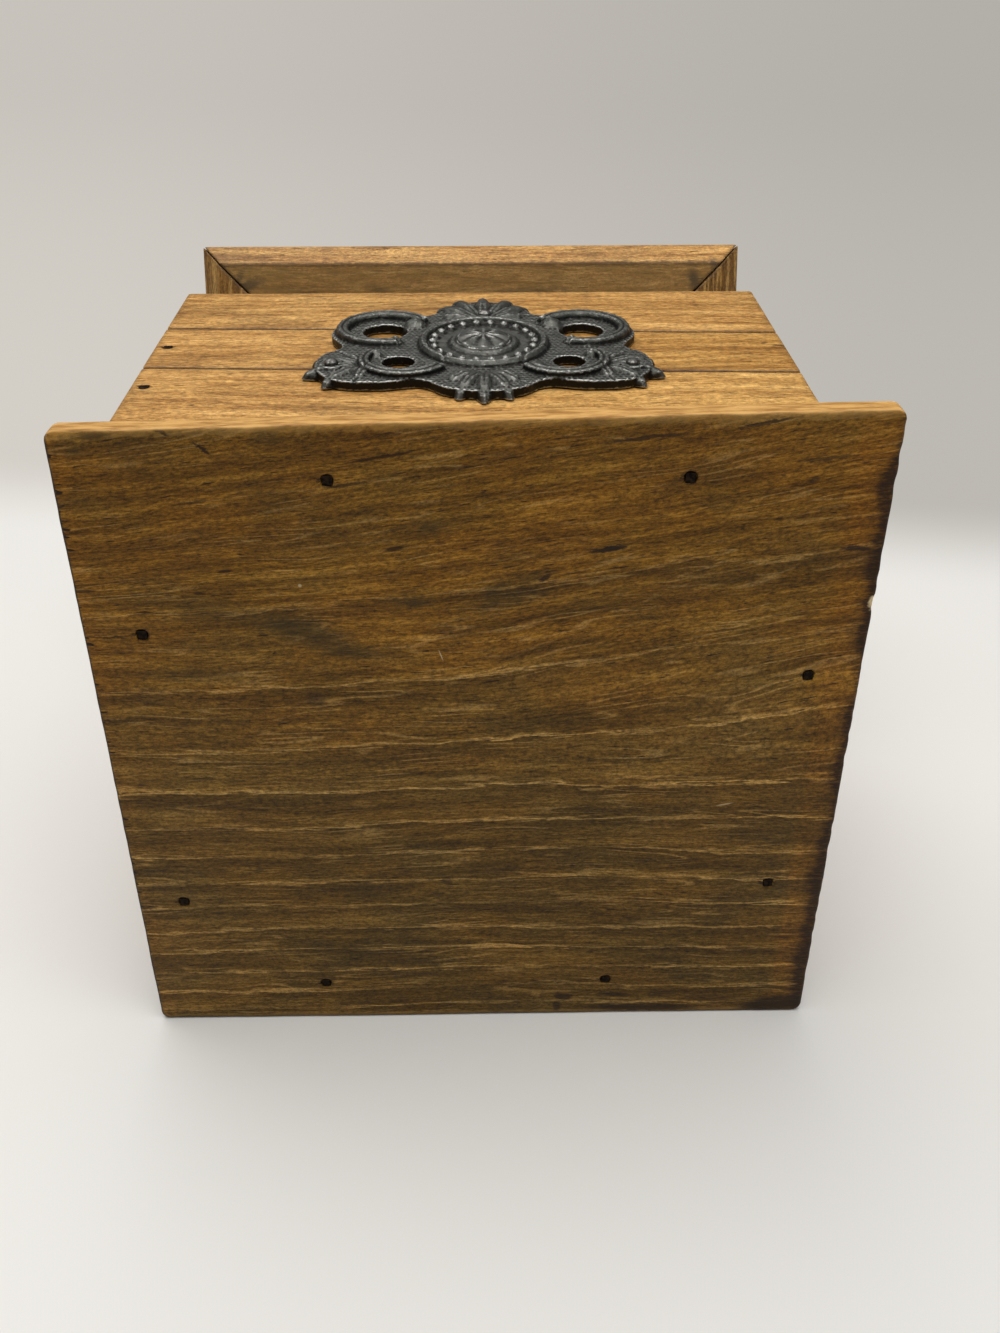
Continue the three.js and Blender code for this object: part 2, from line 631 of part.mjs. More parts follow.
function plaque() {
  const halfWidth = PLAQUE_WIDTH / 2;
  const halfHeight = PLAQUE_HEIGHT / 2;
  const relief = PLAQUE_RELIEF;

  const half = WEB_OUTLINE_SHARES.map(([x, y]) => new THREE.Vector2(x * halfWidth, y * halfHeight));
  const otherHalf = half
    .slice(1, -1)
    .reverse()
    .map((point) => new THREE.Vector2(-point.x, point.y));
  const around = [...half, ...otherHalf].reverse();
  const web = new THREE.Shape();
  web.moveTo(around[0].x, around[0].y);
  web.splineThru([...around.slice(1), around[0]]);
  for (const [x, y, size] of WEB_OPENING_SHARES) {
    for (const side of [-1, 1]) {
      const opening = new THREE.Path();
      opening.absarc(side * x * halfWidth, y * halfHeight, size * halfWidth, 0, 2 * Math.PI);
      web.holes.push(opening);
    }
  }
  const pieces = [
    new THREE.ExtrudeGeometry(web, {
      depth: PLAQUE_WEB,
      bevelEnabled: false,
      curveSegments: 7,
    }),
  ];

  const ring = new THREE.LatheGeometry(
    CARTOUCHE_STEP_SHARES.map(([r, h]) => new THREE.Vector2(r, h * relief)).reverse(),
    36,
  );
  ring.rotateX(Math.PI / 2);
  const ovalX = CARTOUCHE_SIZE_SHARES[0] * halfWidth;
  const ovalY = CARTOUCHE_SIZE_SHARES[1] * halfHeight;
  const ovalCentre = CARTOUCHE_CENTRE_SHARE * halfHeight;
  ring.scale(ovalX, ovalY, 1);
  ring.translate(0, ovalCentre, 0);
  pieces.push(ring);
  for (let i = 0; i < BEAD_COUNT; i += 1) {
    const turn = (2 * Math.PI * i) / BEAD_COUNT;
    const bead = new THREE.SphereGeometry(BEAD_RADIUS_SHARE * ovalX, 8, 6);
    bead.translate(
      BEAD_RING_SHARE * ovalX * Math.cos(turn),
      ovalCentre + BEAD_RING_SHARE * ovalY * Math.sin(turn),
      BEAD_CENTRE_SHARE * relief,
    );
    pieces.push(bead);
  }

  // Fans and scrolls. Those with an x share of more than zero stand on both sides.
  for (const { foot, direction, count, spread, reach, lobeHalf, rise } of FAN_SHARES) {
    for (const side of foot[0] > 0 ? [-1, 1] : [1]) {
      const footX = side * foot[0] * halfWidth;
      const footY = foot[1] * halfHeight;
      const facing = side > 0 ? direction : Math.PI - direction;
      const length = reach * halfHeight;
      pieces.push(
        ...fan(footX, footY, facing, count, spread, length, lobeHalf * halfWidth, rise * relief),
      );
    }
  }
  for (const { centre, radius, from, to, widths, rise } of SCROLL_SHARES) {
    for (const side of [-1, 1]) {
      const centreX = side * centre[0] * halfWidth;
      const centreY = centre[1] * halfHeight;
      const [start, end] = [from, to].map((turn) => (side > 0 ? turn : Math.PI - turn));
      const [wide, narrow] = widths.map((width) => width * halfWidth);
      pieces.push(
        ...scroll(centreX, centreY, radius * halfWidth, start, end, wide, narrow, rise * relief),
      );
    }
  }

  // Flat bosses that the pins bear on.
  for (const [, x, z] of TACK_SPOT_SHARES) {
    const boss = new THREE.CylinderGeometry(TACK_BOSS_RADIUS, TACK_BOSS_RADIUS, TACK_BOSS_HEIGHT, 20);
    boss.rotateX(Math.PI / 2);
    boss.translate(x * halfWidth, z * halfHeight, TACK_BOSS_HEIGHT / 2);
    pieces.push(boss);
  }
  const joined = join(pieces);

  // Everything behind the back plane goes, and the bosses are spot-faced and drilled.
  const reach = PLAQUE_WIDTH;
  const behind = block(new THREE.Vector3(-reach, -reach, -reach), new THREE.Vector3(reach, reach, 0));
  const tools = [behind];
  for (const [, x, z] of TACK_SPOT_SHARES) {
    const seat = new THREE.CylinderGeometry(TACK_BOSS_RADIUS, TACK_BOSS_RADIUS, relief, 20);
    seat.rotateX(Math.PI / 2);
    seat.translate(x * halfWidth, z * halfHeight, TACK_BOSS_HEIGHT + relief / 2);
    tools.push(seat);
    const drill = driven(tackHole(), DRIVEN_DOWN, new THREE.Vector3(x * halfWidth, z * halfHeight, relief));
    tools.push(drill);
  }
  const finished = cut(joined, tools);
  finished.rotateX(Math.PI / 2);
  finished.translate(PLAQUE_CENTRE_X, plaqueFace, PLAQUE_CENTRE_HEIGHT);
  return finished;
}
addPiece(body, "plaque", plaque(), castMetal);

// Hinges. Each is drawn about its pin, which lies along X at the origin; -Y is into the box.
const knucklePitch = HINGE_LENGTH / KNUCKLE_COUNT;
const leafRecess = LEAF_THICKNESS + JOINT_GAP;
const screwX = (SCREW_SPACING_SHARE * HINGE_LENGTH) / 2;
const screwY = -(LEAF_WIDTH + KNUCKLE_RADIUS) / 2 - JOINT_GAP;
const hingeNames = [
  ["left", -HINGE_X],
  ["right", HINGE_X],
];

function alongX(radius, from, to) {
  const cylinder = new THREE.CylinderGeometry(radius, radius, to - from, HINGE_SEGMENTS);
  cylinder.rotateZ(Math.PI / 2);
  cylinder.translate((from + to) / 2, 0, 0);
  return cylinder;
}

// A leaf lies flat against its seat: side is -1 for the body's leaf, below the pin, and 1 for the lid's.
function leaf(side) {
  const face = (side * LID_GAP) / 2;
  const far = face + side * LEAF_THICKNESS;
  const low = Math.min(face, far);
  const high = Math.max(face, far);
  const half = HINGE_LENGTH / 2;
  const plateEdge = -KNUCKLE_RADIUS - JOINT_GAP;
  const pieces = [
    block(new THREE.Vector3(-half, -LEAF_WIDTH, low), new THREE.Vector3(half, plateEdge, high)),
  ];
  for (let i = 0; i < KNUCKLE_COUNT; i += 1) {
    const isBodys = i % 2 === 0;
    if (isBodys === side < 0) {
      const from = -half + i * knucklePitch + (i > 0 ? KNUCKLE_GAP / 2 : 0);
      const to = -half + (i + 1) * knucklePitch - (i < KNUCKLE_COUNT - 1 ? KNUCKLE_GAP / 2 : 0);
      const tabStart = plateEdge - LEAF_THICKNESS;
      pieces.push(block(new THREE.Vector3(from, tabStart, low), new THREE.Vector3(to, 0, high)));
      pieces.push(alongX(KNUCKLE_RADIUS, from, to));
    }
  }
  const bore = alongX(PIN_RADIUS + PIN_CLEARANCE, -HINGE_LENGTH, HINGE_LENGTH);
  const holes = screwSpots(side).map((at) => driven(screwHole(), screwDirection(side), at));
  return cut(join(pieces), [bore, ...holes]);
}

function screwDirection(side) {
  return side < 0 ? DRIVEN_DOWN : DRIVEN_UP;
}

function screwSpots(side) {
  const face = side * (LID_GAP / 2 + SCREW_SINK);
  return [-screwX, screwX].map((x) => new THREE.Vector3(x, screwY, face));
}

function hingePin() {
  const end = HINGE_LENGTH / 2 + KNUCKLE_GAP;
  const profile = [
    new THREE.Vector2(0, -end - PIN_HEAD_LENGTH),
    new THREE.Vector2(PIN_HEAD_RADIUS, -end - PIN_HEAD_LENGTH / 2),
    new THREE.Vector2(PIN_HEAD_RADIUS, -end),
    new THREE.Vector2(PIN_RADIUS, -end),
    new THREE.Vector2(PIN_RADIUS, end),
    new THREE.Vector2(PIN_HEAD_RADIUS, end),
    new THREE.Vector2(PIN_HEAD_RADIUS, end + PIN_HEAD_LENGTH / 2),
    new THREE.Vector2(0, end + PIN_HEAD_LENGTH),
  ];
  const geometry = turned(profile, HINGE_SEGMENTS);
  geometry.rotateZ(-Math.PI / 2);
  return geometry;
}

// What a hinge takes out of the wood on one side of it: the seat of its leaf, room for its barrel
// and the holes of its screws.
function hingeRoom(side, centreX) {
  const half = HINGE_LENGTH / 2 + JOINT_GAP;
  const barrel = KNUCKLE_RADIUS + JOINT_GAP;
  const barrelHalf = HINGE_LENGTH / 2 + KNUCKLE_GAP + PIN_HEAD_LENGTH + JOINT_GAP;
  const face = (side * LID_GAP) / 2;
  const open = face - side * CUT_MARGIN;
  const seat = face + side * leafRecess;
  const deep = side * barrel;
  const between = (x, y0, y1, z0, z1) =>
    block(
      new THREE.Vector3(centreX - x, y0, Math.min(z0, z1)),
      new THREE.Vector3(centreX + x, y1, Math.max(z0, z1)),
    );
  const holes = screwSpots(side).map((at) => {
    const hole = driven(screwHole(), screwDirection(side), at);
    hole.translate(centreX, 0, 0);
    return hole;
  });
  return [
    between(half, -LEAF_WIDTH - JOINT_GAP, 0, open, seat),
    between(barrelHalf, -barrel, barrel, open, deep),
    ...holes,
  ];
}

const bodyHingeRoom = [];
for (const [, x] of hingeNames) {
  for (const tool of hingeRoom(-1, x)) {
    tool.translate(0, PIN_Y, PIN_Z);
    bodyHingeRoom.push(tool);
  }
}
for (const row of slats) {
  const holes = [...baseNailHoles, ...bodyHingeRoom];
  addPiece(body, "back_slat_" + row.name, slat(BACK_FACE, -1, 0, row, holes), darkPine);
}

// The hinges' own pieces. The lid's are placed in the lid's group, whose origin is the pin line.
for (const [sideName, x] of hingeNames) {
  const bodyLeaf = leaf(-1);
  bodyLeaf.translate(x, PIN_Y, PIN_Z);
  addPiece(body, sideName + "_hinge_body_leaf", bodyLeaf, brass);
  const pin = hingePin();
  pin.translate(x, PIN_Y, PIN_Z);
  addPiece(body, sideName + "_hinge_pin", pin, brass);
  screwSpots(-1).forEach((at, i) => {
    const fastener = driven(screw(), screwDirection(-1), at);
    fastener.translate(x, PIN_Y, PIN_Z);
    addPiece(body, sideName + "_hinge_body_screw_" + (i + 1), fastener, brass);
  });
  const lidLeaf = leaf(1);
  lidLeaf.translate(x, 0, 0);
  addPiece(lid, sideName + "_hinge_lid_leaf", lidLeaf, brass);
  screwSpots(1).forEach((at, i) => {
    const fastener = driven(screw(), screwDirection(1), at);
    fastener.translate(x, 0, 0);
    addPiece(lid, sideName + "_hinge_lid_screw_" + (i + 1), fastener, brass);
  });
}

// Lid frame, about the pin line. The moulded rails are bevelled along their lower outer edge.
const railUnder = FRAME_UNDERSIDE - PIN_Z;
const railTop = FRAME_TOP - PIN_Z;
const railFront = FRAME_FRONT - PIN_Y;
const railBack = FRAME_BACK - PIN_Y;

// The section of a moulded rail: x is outwards from its inner edge, y is up from its underside.
function railSection() {
  const section = new THREE.Shape();
  section.moveTo(0, 0);
  section.lineTo(RAIL_WIDTH - FRAME_BEVEL, 0);
  section.lineTo(RAIL_WIDTH, FRAME_BEVEL);
  section.lineTo(RAIL_WIDTH, FRAME_THICKNESS - FRAME_TOP_ROUND);
  section.lineTo(RAIL_WIDTH - FRAME_TOP_ROUND, FRAME_THICKNESS);
  section.lineTo(0, FRAME_THICKNESS);
  return section;
}

// A moulded rail along +X, centred, its outside towards +Y, before its mitres are cut.
function mouldedRail(length) {
  const rail = new THREE.ExtrudeGeometry(railSection(), { depth: length, bevelEnabled: false });
  rail.translate(-RAIL_WIDTH, 0, -length / 2);
  rail.rotateX(Math.PI / 2);
  rail.rotateZ(Math.PI / 2);
  return rail;
}

// A wedge that takes away all beyond a mitre: a block turned by an eighth with one corner on the
// frame's outer corner. side says which end it cuts.
function mitreWedge(cornerX, cornerY, rotation) {
  const size = 4 * RAIL_WIDTH;
  const wedge = new THREE.BoxGeometry(size, size, size);
  wedge.translate(size / 2 - JOINT_GAP / 2, 0, 0);
  wedge.rotateZ(rotation);
  wedge.translate(cornerX, cornerY, 0);
  return wedge;
}

const eighth = Math.PI / 4;
const frameLength = 2 * FRAME_SIDE;
const frameDepth = railBack - railFront;

function frontRail() {
  const rail = mouldedRail(frameLength);
  rail.rotateZ(Math.PI);
  rail.translate(0, railFront, railUnder);
  const leftWedge = mitreWedge(-FRAME_SIDE, railFront, 3 * eighth);
  const rightWedge = mitreWedge(FRAME_SIDE, railFront, eighth);
  return cut(rail, [leftWedge, rightWedge]);
}

function sideRail(side) {
  const rail = mouldedRail(frameDepth);
  rail.rotateZ((-side * Math.PI) / 2);
  rail.translate(side * FRAME_SIDE, (railFront + railBack) / 2, railUnder);
  const turn = side > 0 ? eighth + Math.PI : -eighth;
  return cut(rail, [mitreWedge(side * FRAME_SIDE, railFront, turn)]);
}

// The back rail is plain and stands between the side rails.
function backRail() {
  const half = FRAME_SIDE - RAIL_WIDTH - JOINT_GAP;
  const rail = easedBoard(
    new THREE.Vector3(-half, railBack - RAIL_WIDTH, railUnder),
    new THREE.Vector3(half, railBack, railTop),
    ARRIS,
  );
  const rooms = hingeNames.flatMap(([, x]) => hingeRoom(1, x));
  return cut(rail, rooms);
}

addPiece(lid, "lid_front_rail", frontRail(), pine);
addPiece(lid, "lid_left_rail", sideRail(-1), pine);
addPiece(lid, "lid_right_rail", sideRail(1), pine);
addPiece(lid, "lid_back_rail", backRail(), pine);

// Dome, about the axis of its curve. y is across the lid and z is up.
const domeY = -PIN_Y;
const domeZ = DOME_FOOT - PIN_Z;
const panelRadius = (STAVE_FACE_RADIUS - STAVE_THICKNESS - JOINT_GAP) / Math.cos(HALF_STAVE_ANGLE);

// A stave's section: x is along the curve, y is outwards from the dome's axis.
function stavePoints() {
  const slope = Math.tan(HALF_STAVE_ANGLE);
  const halfGap = JOINT_GAP / 2 / Math.cos(HALF_STAVE_ANGLE);
  const outer = STAVE_FACE_RADIUS;
  const inner = STAVE_FACE_RADIUS - STAVE_THICKNESS;
  const outerHalf = outer * slope - halfGap;
  const innerHalf = inner * slope - halfGap;
  const easedHalf = (outer - STAVE_ARRIS) * slope - halfGap;
  return [
    new THREE.Vector2(-innerHalf, inner),
    new THREE.Vector2(innerHalf, inner),
    new THREE.Vector2(easedHalf, outer - STAVE_ARRIS),
    new THREE.Vector2(outerHalf - STAVE_ARRIS, outer),
    new THREE.Vector2(-outerHalf + STAVE_ARRIS, outer),
    new THREE.Vector2(-easedHalf, outer - STAVE_ARRIS),
  ];
}

// All staves are alike, each turned to its own place round the curve from front to back.
function staveTurn(index) {
  return Math.PI / 2 - HALF_STAVE_ANGLE * (2 * index + 1);
}

for (let i = 0; i < STAVE_COUNT; i += 1) {
  const stave = new THREE.ExtrudeGeometry(new THREE.Shape(stavePoints()), {
    depth: BODY_WIDTH - 2 * STAVE_ARRIS,
    bevelThickness: STAVE_ARRIS,
    bevelSize: STAVE_ARRIS,
    bevelOffset: -STAVE_ARRIS,
    bevelSegments: 1,
  });
  stave.translate(0, 0, -BODY_WIDTH / 2 + STAVE_ARRIS);
  stave.rotateY(Math.PI / 2);
  stave.rotateX(Math.PI / 2);
  stave.translate(0, 0, -STAVE_FACE_RADIUS);
  const turn = staveTurn(i);
  const mesh = new THREE.Mesh(stave, new THREE.MeshStandardMaterial(i % 2 ? pine : goldenPine));
  mesh.name = "lid_stave_" + (i + 1);
  mesh.rotation.x = turn;
  mesh.position.set(
    0,
    domeY - STAVE_FACE_RADIUS * Math.sin(turn),
    domeZ + STAVE_FACE_RADIUS * Math.cos(turn),
  );
  lid.add(mesh);
}

// The end panels are cut to one flat for each stave.
function endPanel(side) {
  const outline = new THREE.Shape();
  for (let i = 0; i <= STAVE_COUNT; i += 1) {
    const turn = (Math.PI * i) / STAVE_COUNT;
    const y = panelRadius * Math.cos(turn);
    const z = panelRadius * Math.sin(turn);
    if (i === 0) {
      outline.moveTo(y, z);
    } else {
      outline.lineTo(y, z);
    }
  }
  const panel = new THREE.ExtrudeGeometry(outline, {
    depth: END_PANEL_THICKNESS - 2 * ARRIS,
    bevelThickness: ARRIS,
    bevelSize: ARRIS,
    bevelOffset: -ARRIS,
    bevelSegments: 1,
  });
  panel.rotateX(Math.PI / 2);
  panel.rotateZ(Math.PI / 2);
  const inner = side > 0 ? SIDE_FACE - END_PANEL_THICKNESS + ARRIS : -SIDE_FACE + ARRIS;
  panel.translate(inner, domeY, domeZ);
  return panel;
}
addPiece(lid, "lid_left_end_panel", endPanel(-1), pine);
addPiece(lid, "lid_right_end_panel", endPanel(1), pine);

// How far the lid opens before it meets the table that the box's back lies on. The table is level with
// the back edge of the base board, and the lid turns about the pin until its first point reaches it.
function restAngle() {
  const toTable = BASE_DEPTH / 2 - PIN_Y;
  let least = Math.PI;
  for (let i = 0; i < STAVE_COUNT; i += 1) {
    const turn = staveTurn(i);
    for (const point of stavePoints()) {
      const y = domeY + point.x * Math.cos(turn) - point.y * Math.sin(turn);
      const z = domeZ + point.x * Math.sin(turn) + point.y * Math.cos(turn);
      const reach = Math.hypot(y, z);
      if (reach > toTable) {
        const angle = Math.atan2(z, y) - Math.acos(toTable / reach);
        if (angle > 0) {
          least = Math.min(least, angle);
        }
      }
    }
  }
  return least;
}

lid.position.set(0, PIN_Y, PIN_Z);
lid.rotation.x = -restAngle();

// Lay the box on its back and stand it on the table: the base turns to face -Y and the front faces up.
const laid = new THREE.Group();
laid.add(body);
laid.add(lid);
laid.rotation.x = -Math.PI / 2;

const domeTopBox = new THREE.Group();
domeTopBox.add(laid);
domeTopBox.updateMatrixWorld(true);
const extent = new THREE.Box3().setFromObject(domeTopBox, true);
laid.position.set(
  -(extent.min.x + extent.max.x) / 2,
  -(extent.min.y + extent.max.y) / 2,
  -extent.min.z,
);

export default domeTopBox;
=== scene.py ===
# %% [markdown]
# # A dome-top keepsake box, dressed for its portrait
#
# The box is about 150 mm across: stained pine boards nailed together, with a dark cast plaque on
# its front. It lies on its back, so the front wall faces up, the base board faces the camera, and
# the lid has swung back until its dome rests on the table.
#
# The packed model gives every piece at its real size and place. This script gives the pieces their
# surfaces. Lengths are metres here, and the wood's own patterns are worked out in millimetres.

import json
import math

import bmesh
import bpy
import numpy as np
from mathutils import Matrix, Vector


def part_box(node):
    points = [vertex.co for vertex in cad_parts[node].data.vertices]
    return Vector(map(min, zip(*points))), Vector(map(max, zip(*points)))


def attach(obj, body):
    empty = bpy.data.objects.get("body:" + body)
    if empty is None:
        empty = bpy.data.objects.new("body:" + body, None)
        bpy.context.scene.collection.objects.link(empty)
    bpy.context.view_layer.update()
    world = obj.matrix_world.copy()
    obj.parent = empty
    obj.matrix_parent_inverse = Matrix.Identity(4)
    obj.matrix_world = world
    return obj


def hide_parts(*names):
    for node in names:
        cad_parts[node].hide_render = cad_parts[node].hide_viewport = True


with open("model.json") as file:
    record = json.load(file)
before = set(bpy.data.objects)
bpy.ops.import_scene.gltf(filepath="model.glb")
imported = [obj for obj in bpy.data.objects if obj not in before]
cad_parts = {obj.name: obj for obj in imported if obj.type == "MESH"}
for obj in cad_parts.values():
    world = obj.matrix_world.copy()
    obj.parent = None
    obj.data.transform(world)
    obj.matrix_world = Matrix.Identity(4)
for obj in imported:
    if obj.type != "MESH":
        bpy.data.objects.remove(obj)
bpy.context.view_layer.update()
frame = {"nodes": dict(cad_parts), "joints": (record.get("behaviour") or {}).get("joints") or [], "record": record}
nodes = frame["nodes"]
MM = 0.001

# %% [markdown]
# ## The camera
#
# A pinhole camera was fitted to the corners, seams and nails of the photographed box. It stands a
# hand's breadth above the box and looks down on it by about a third of a right angle. The fit
# measures depth from the underside of the base board, so the camera is placed from that face.

# %% Camera from the fitted values
PHOTO_HEIGHT_PX = 1333
FOCAL_PX = 1278.28
SENSOR_MM = 36.0
CAMERA_FROM_BASE = Vector((0.00060, -0.21045, 0.23516))
PITCH, YAW, ROLL = (math.radians(v) for v in (32.930, 1.002, 0.008))

base_low, base_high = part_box("base_board")
forward = Vector(
    (math.sin(YAW) * math.cos(PITCH), math.cos(YAW) * math.cos(PITCH), -math.sin(PITCH))
)
level_right = Vector((math.cos(YAW), -math.sin(YAW), 0))
level_up = level_right.cross(forward)
right = math.cos(ROLL) * level_right + math.sin(ROLL) * level_up
up = -math.sin(ROLL) * level_right + math.cos(ROLL) * level_up

camera_data = bpy.data.cameras.new("camera")
camera_data.sensor_width = SENSOR_MM
camera_data.lens = FOCAL_PX / PHOTO_HEIGHT_PX * SENSOR_MM
camera = bpy.data.objects.new("camera", camera_data)
bpy.context.scene.collection.objects.link(camera)
turn = Matrix((right, up, -forward)).transposed().to_4x4()
place = CAMERA_FROM_BASE + Vector((0, base_low.y, 0))
camera.matrix_world = Matrix.Translation(place) @ turn
camera_data.clip_start = 0.01
camera_data.clip_end = 20
bpy.context.scene.camera = camera
print("lens mm:", round(camera_data.lens, 2), "camera at:", [round(v, 4) for v in place])

# %% [markdown]
# ## The light
#
# Almost all the light comes from above: faces that look up are four to five times brighter than
# the base board, which is lit mostly by the white paper in front of it. One large soft lamp
# overhead does this, with a weak fill. The room lights the box dimly from all round, and the
# camera sees it in the same pale grey as the far part of the paper.

# %% Lamps: a large soft one overhead, and a weak fill from the front left
LAMPS = {
    "overhead": dict(
        at=(-0.03, -0.06, 1.05),
        aim=(0, -0.04, 0.0),
        size=(1.8, 1.0),
        power=17.8,
        colour=(1.0, 0.988, 0.968),
    ),
    "fill": dict(
        at=(-0.7, -1.1, 0.8),
        aim=(0, 0, 0.08),
        size=(0.8, 0.8),
        power=0.4,
        colour=(1.0, 0.98, 0.95),
    ),
}


def area_lamp(name, at, aim, size, power, colour):
    data = bpy.data.lights.new(name, "AREA")
    data.shape = "RECTANGLE"
    data.size, data.size_y = size
    data.energy = power
    data.color = colour
    lamp = bpy.data.objects.new(name, data)
    bpy.context.scene.collection.objects.link(lamp)
    lamp.location = at
    lamp.rotation_euler = (Vector(aim) - Vector(at)).to_track_quat("-Z", "Y").to_euler()


for name, setting in LAMPS.items():
    area_lamp(name, **setting)
print("lamps:", list(LAMPS))

# %% The room: dim light from all round, and a pale grey where the camera looks past the paper
ROOM_LIGHT = (1.0, 0.98, 0.95, 1)
ROOM_STRENGTH = 0.10
ROOM_GREY = (0.50, 0.475, 0.435, 1)

world = bpy.data.worlds.new("room")
world.use_nodes = True
world_nodes, world_links = world.node_tree.nodes, world.node_tree.links
dim_light = world_nodes["Background"]
dim_light.inputs["Color"].default_value = ROOM_LIGHT
dim_light.inputs["Strength"].default_value = ROOM_STRENGTH
far_grey = world_nodes.new("ShaderNodeBackground")
far_grey.inputs["Color"].default_value = ROOM_GREY
looking = world_nodes.new("ShaderNodeLightPath").outputs
either = world_nodes.new("ShaderNodeMixShader")
world_links.new(looking["Is Camera Ray"], either.inputs[0])
world_links.new(dim_light.outputs[0], either.inputs[1])
world_links.new(far_grey.outputs[0], either.inputs[2])
world_links.new(either.outputs[0], world_nodes["World Output"].inputs[0])
bpy.context.scene.world = world
bpy.context.scene.view_settings.view_transform = "Standard"
print("room light:", ROOM_STRENGTH, "of", ROOM_LIGHT[:3])

# %% [markdown]
# ## Building node materials in a few words
#
# A small helper keeps the materials readable: each call adds one node, or two or three that
# always go together, links what it is given and returns the output socket.


# %% Shorthand for shader nodes
class Weaver:
    def __init__(self, tree):
        self.tree = tree

    def put(self, socket, value):
        if isinstance(value, bpy.types.NodeSocket):
            self.tree.links.new(value, socket)
        elif value is not None:
            socket.default_value = value

    def math(self, operation, a, b=None):
        node = self.tree.nodes.new("ShaderNodeMath")
        node.operation = operation
        for socket, value in zip(node.inputs, (a, b)):
            self.put(socket, value)
        return node.outputs[0]

    def vector(self, operation, a, b=None, out=0):
        node = self.tree.nodes.new("ShaderNodeVectorMath")
        node.operation = operation
        self.put(node.inputs[0], a)
        self.put(node.inputs[1], b)
        return node.outputs[out]

    def combine(self, x, y, z):
        node = self.tree.nodes.new("ShaderNodeCombineXYZ")
        for socket, value in zip(node.inputs, (x, y, z)):
            self.put(socket, value)
        return node.outputs[0]

    def split(self, vector):
        node = self.tree.nodes.new("ShaderNodeSeparateXYZ")
        self.put(node.inputs[0], vector)
        return node.outputs

    def scaled(self, vector, factor):
        node = self.tree.nodes.new("ShaderNodeVectorMath")
        node.operation = "SCALE"
        self.put(node.inputs[0], vector)
        self.put(node.inputs["Scale"], factor)
        return node.outputs[0]

    def noise(self, vector, scale, detail=2.0, roughness=0.5, colour=False):
        node = self.tree.nodes.new("ShaderNodeTexNoise")
        self.put(node.inputs["Vector"], vector)
        self.put(node.inputs["Scale"], scale)
        self.put(node.inputs["Detail"], detail)
        self.put(node.inputs["Roughness"], roughness)
        return node.outputs["Color" if colour else "Fac"]

    # Noise drawn out along the grain: its own scale along each axis
    def drawn(self, place, scales, detail=2.0, roughness=0.5, colour=False):
        return self.noise(self.vector("MULTIPLY", place, scales), 1.0, detail, roughness, colour)

    # A noise value turned into a swing about zero, size wide from end to end
    def swing(self, value, size):
        return self.math("MULTIPLY", self.math("SUBTRACT", value, 0.5), size)

    def step(self, value, start, end, low=0.0, high=1.0):
        node = self.tree.nodes.new("ShaderNodeMapRange")
        node.interpolation_type = "SMOOTHSTEP"
        for socket, given in zip(node.inputs, (value, start, end, low, high)):
            self.put(socket, given)
        return node.outputs[0]

    def ramp(self, value, stops):
        node = self.tree.nodes.new("ShaderNodeValToRGB")
        self.put(node.inputs[0], value)
        elements = node.color_ramp.elements
        while len(elements) < len(stops):
            elements.new(0.5)
        for element, (position, colour) in zip(elements, stops):
            element.position = position
            element.color = (*colour, 1)
        return node.outputs["Color"]

    def mix(self, share, a, b):
        node = self.tree.nodes.new("ShaderNodeMix")
        node.data_type = "RGBA"
        self.put(node.inputs[0], share)
        for socket, value in ((node.inputs[6], a), (node.inputs[7], b)):
            if isinstance(value, tuple) and len(value) == 3:
                value = (*value, 1)
            self.put(socket, value)
        return node.outputs[2]

    def bump(self, height, distance, strength):
        node = self.tree.nodes.new("ShaderNodeBump")
        self.put(node.inputs["Height"], height)
        self.put(node.inputs["Distance"], distance)
        self.put(node.inputs["Strength"], strength)
        return node.outputs[0]


print("shorthand for:", [word for word in vars(Weaver) if not word.startswith("_")])


# %% [markdown]
# ## The sheet of paper
#
# The real box lies on white paper that curves up behind it, a little askew. An upright sheet
# would hide the box from behind, so this paper lies flat and the shade of its curve is painted
# into its colour: some 50 mm behind the lid it turns from lit white into a painted shade of pale
# grey, lighter on the left and darker further back. Only what looks at the paper sees that painted
# shade; the light still bounces off white.

# %% The sheet
PAPER_REACH = 6.0
corners = [(x * PAPER_REACH, y * PAPER_REACH, 0.0) for x, y in ((-1, -1), (1, -1), (1, 1), (-1, 1))]
paper_mesh = bpy.data.meshes.new("paper_sheet")
paper_mesh.from_pydata(corners, [], [(0, 1, 2, 3)])
sheet = bpy.data.objects.new("paper_sheet", paper_mesh)
bpy.context.scene.collection.objects.link(sheet)
print("paper sheet:", 2 * PAPER_REACH, "m wide")

# %% Its colour: lit white near the box, and a painted shade of pale grey beyond the fold and far to the sides
PAPER_WHITE = (0.785, 0.778, 0.757, 1)
FAR_LEFT_PAINTED_SHADE, FAR_RIGHT_PAINTED_SHADE = (0.655, 0.620, 0.570), (0.510, 0.488, 0.450)
FOLD_ASKEW = math.radians(-8)
FOLD_START, FOLD_END = 0.125, 0.205
SIDES_START, SIDES_END = 0.55, 1.60
# The painted shade is lighter on the left than on the right. Left and right are told apart by the
# slope of the line from the camera's foot, as wide as the view.
CAMERA_FOOT_BACK = 0.31
LEAST_DEPTH = 0.1
VIEW_SLOPE = 0.40

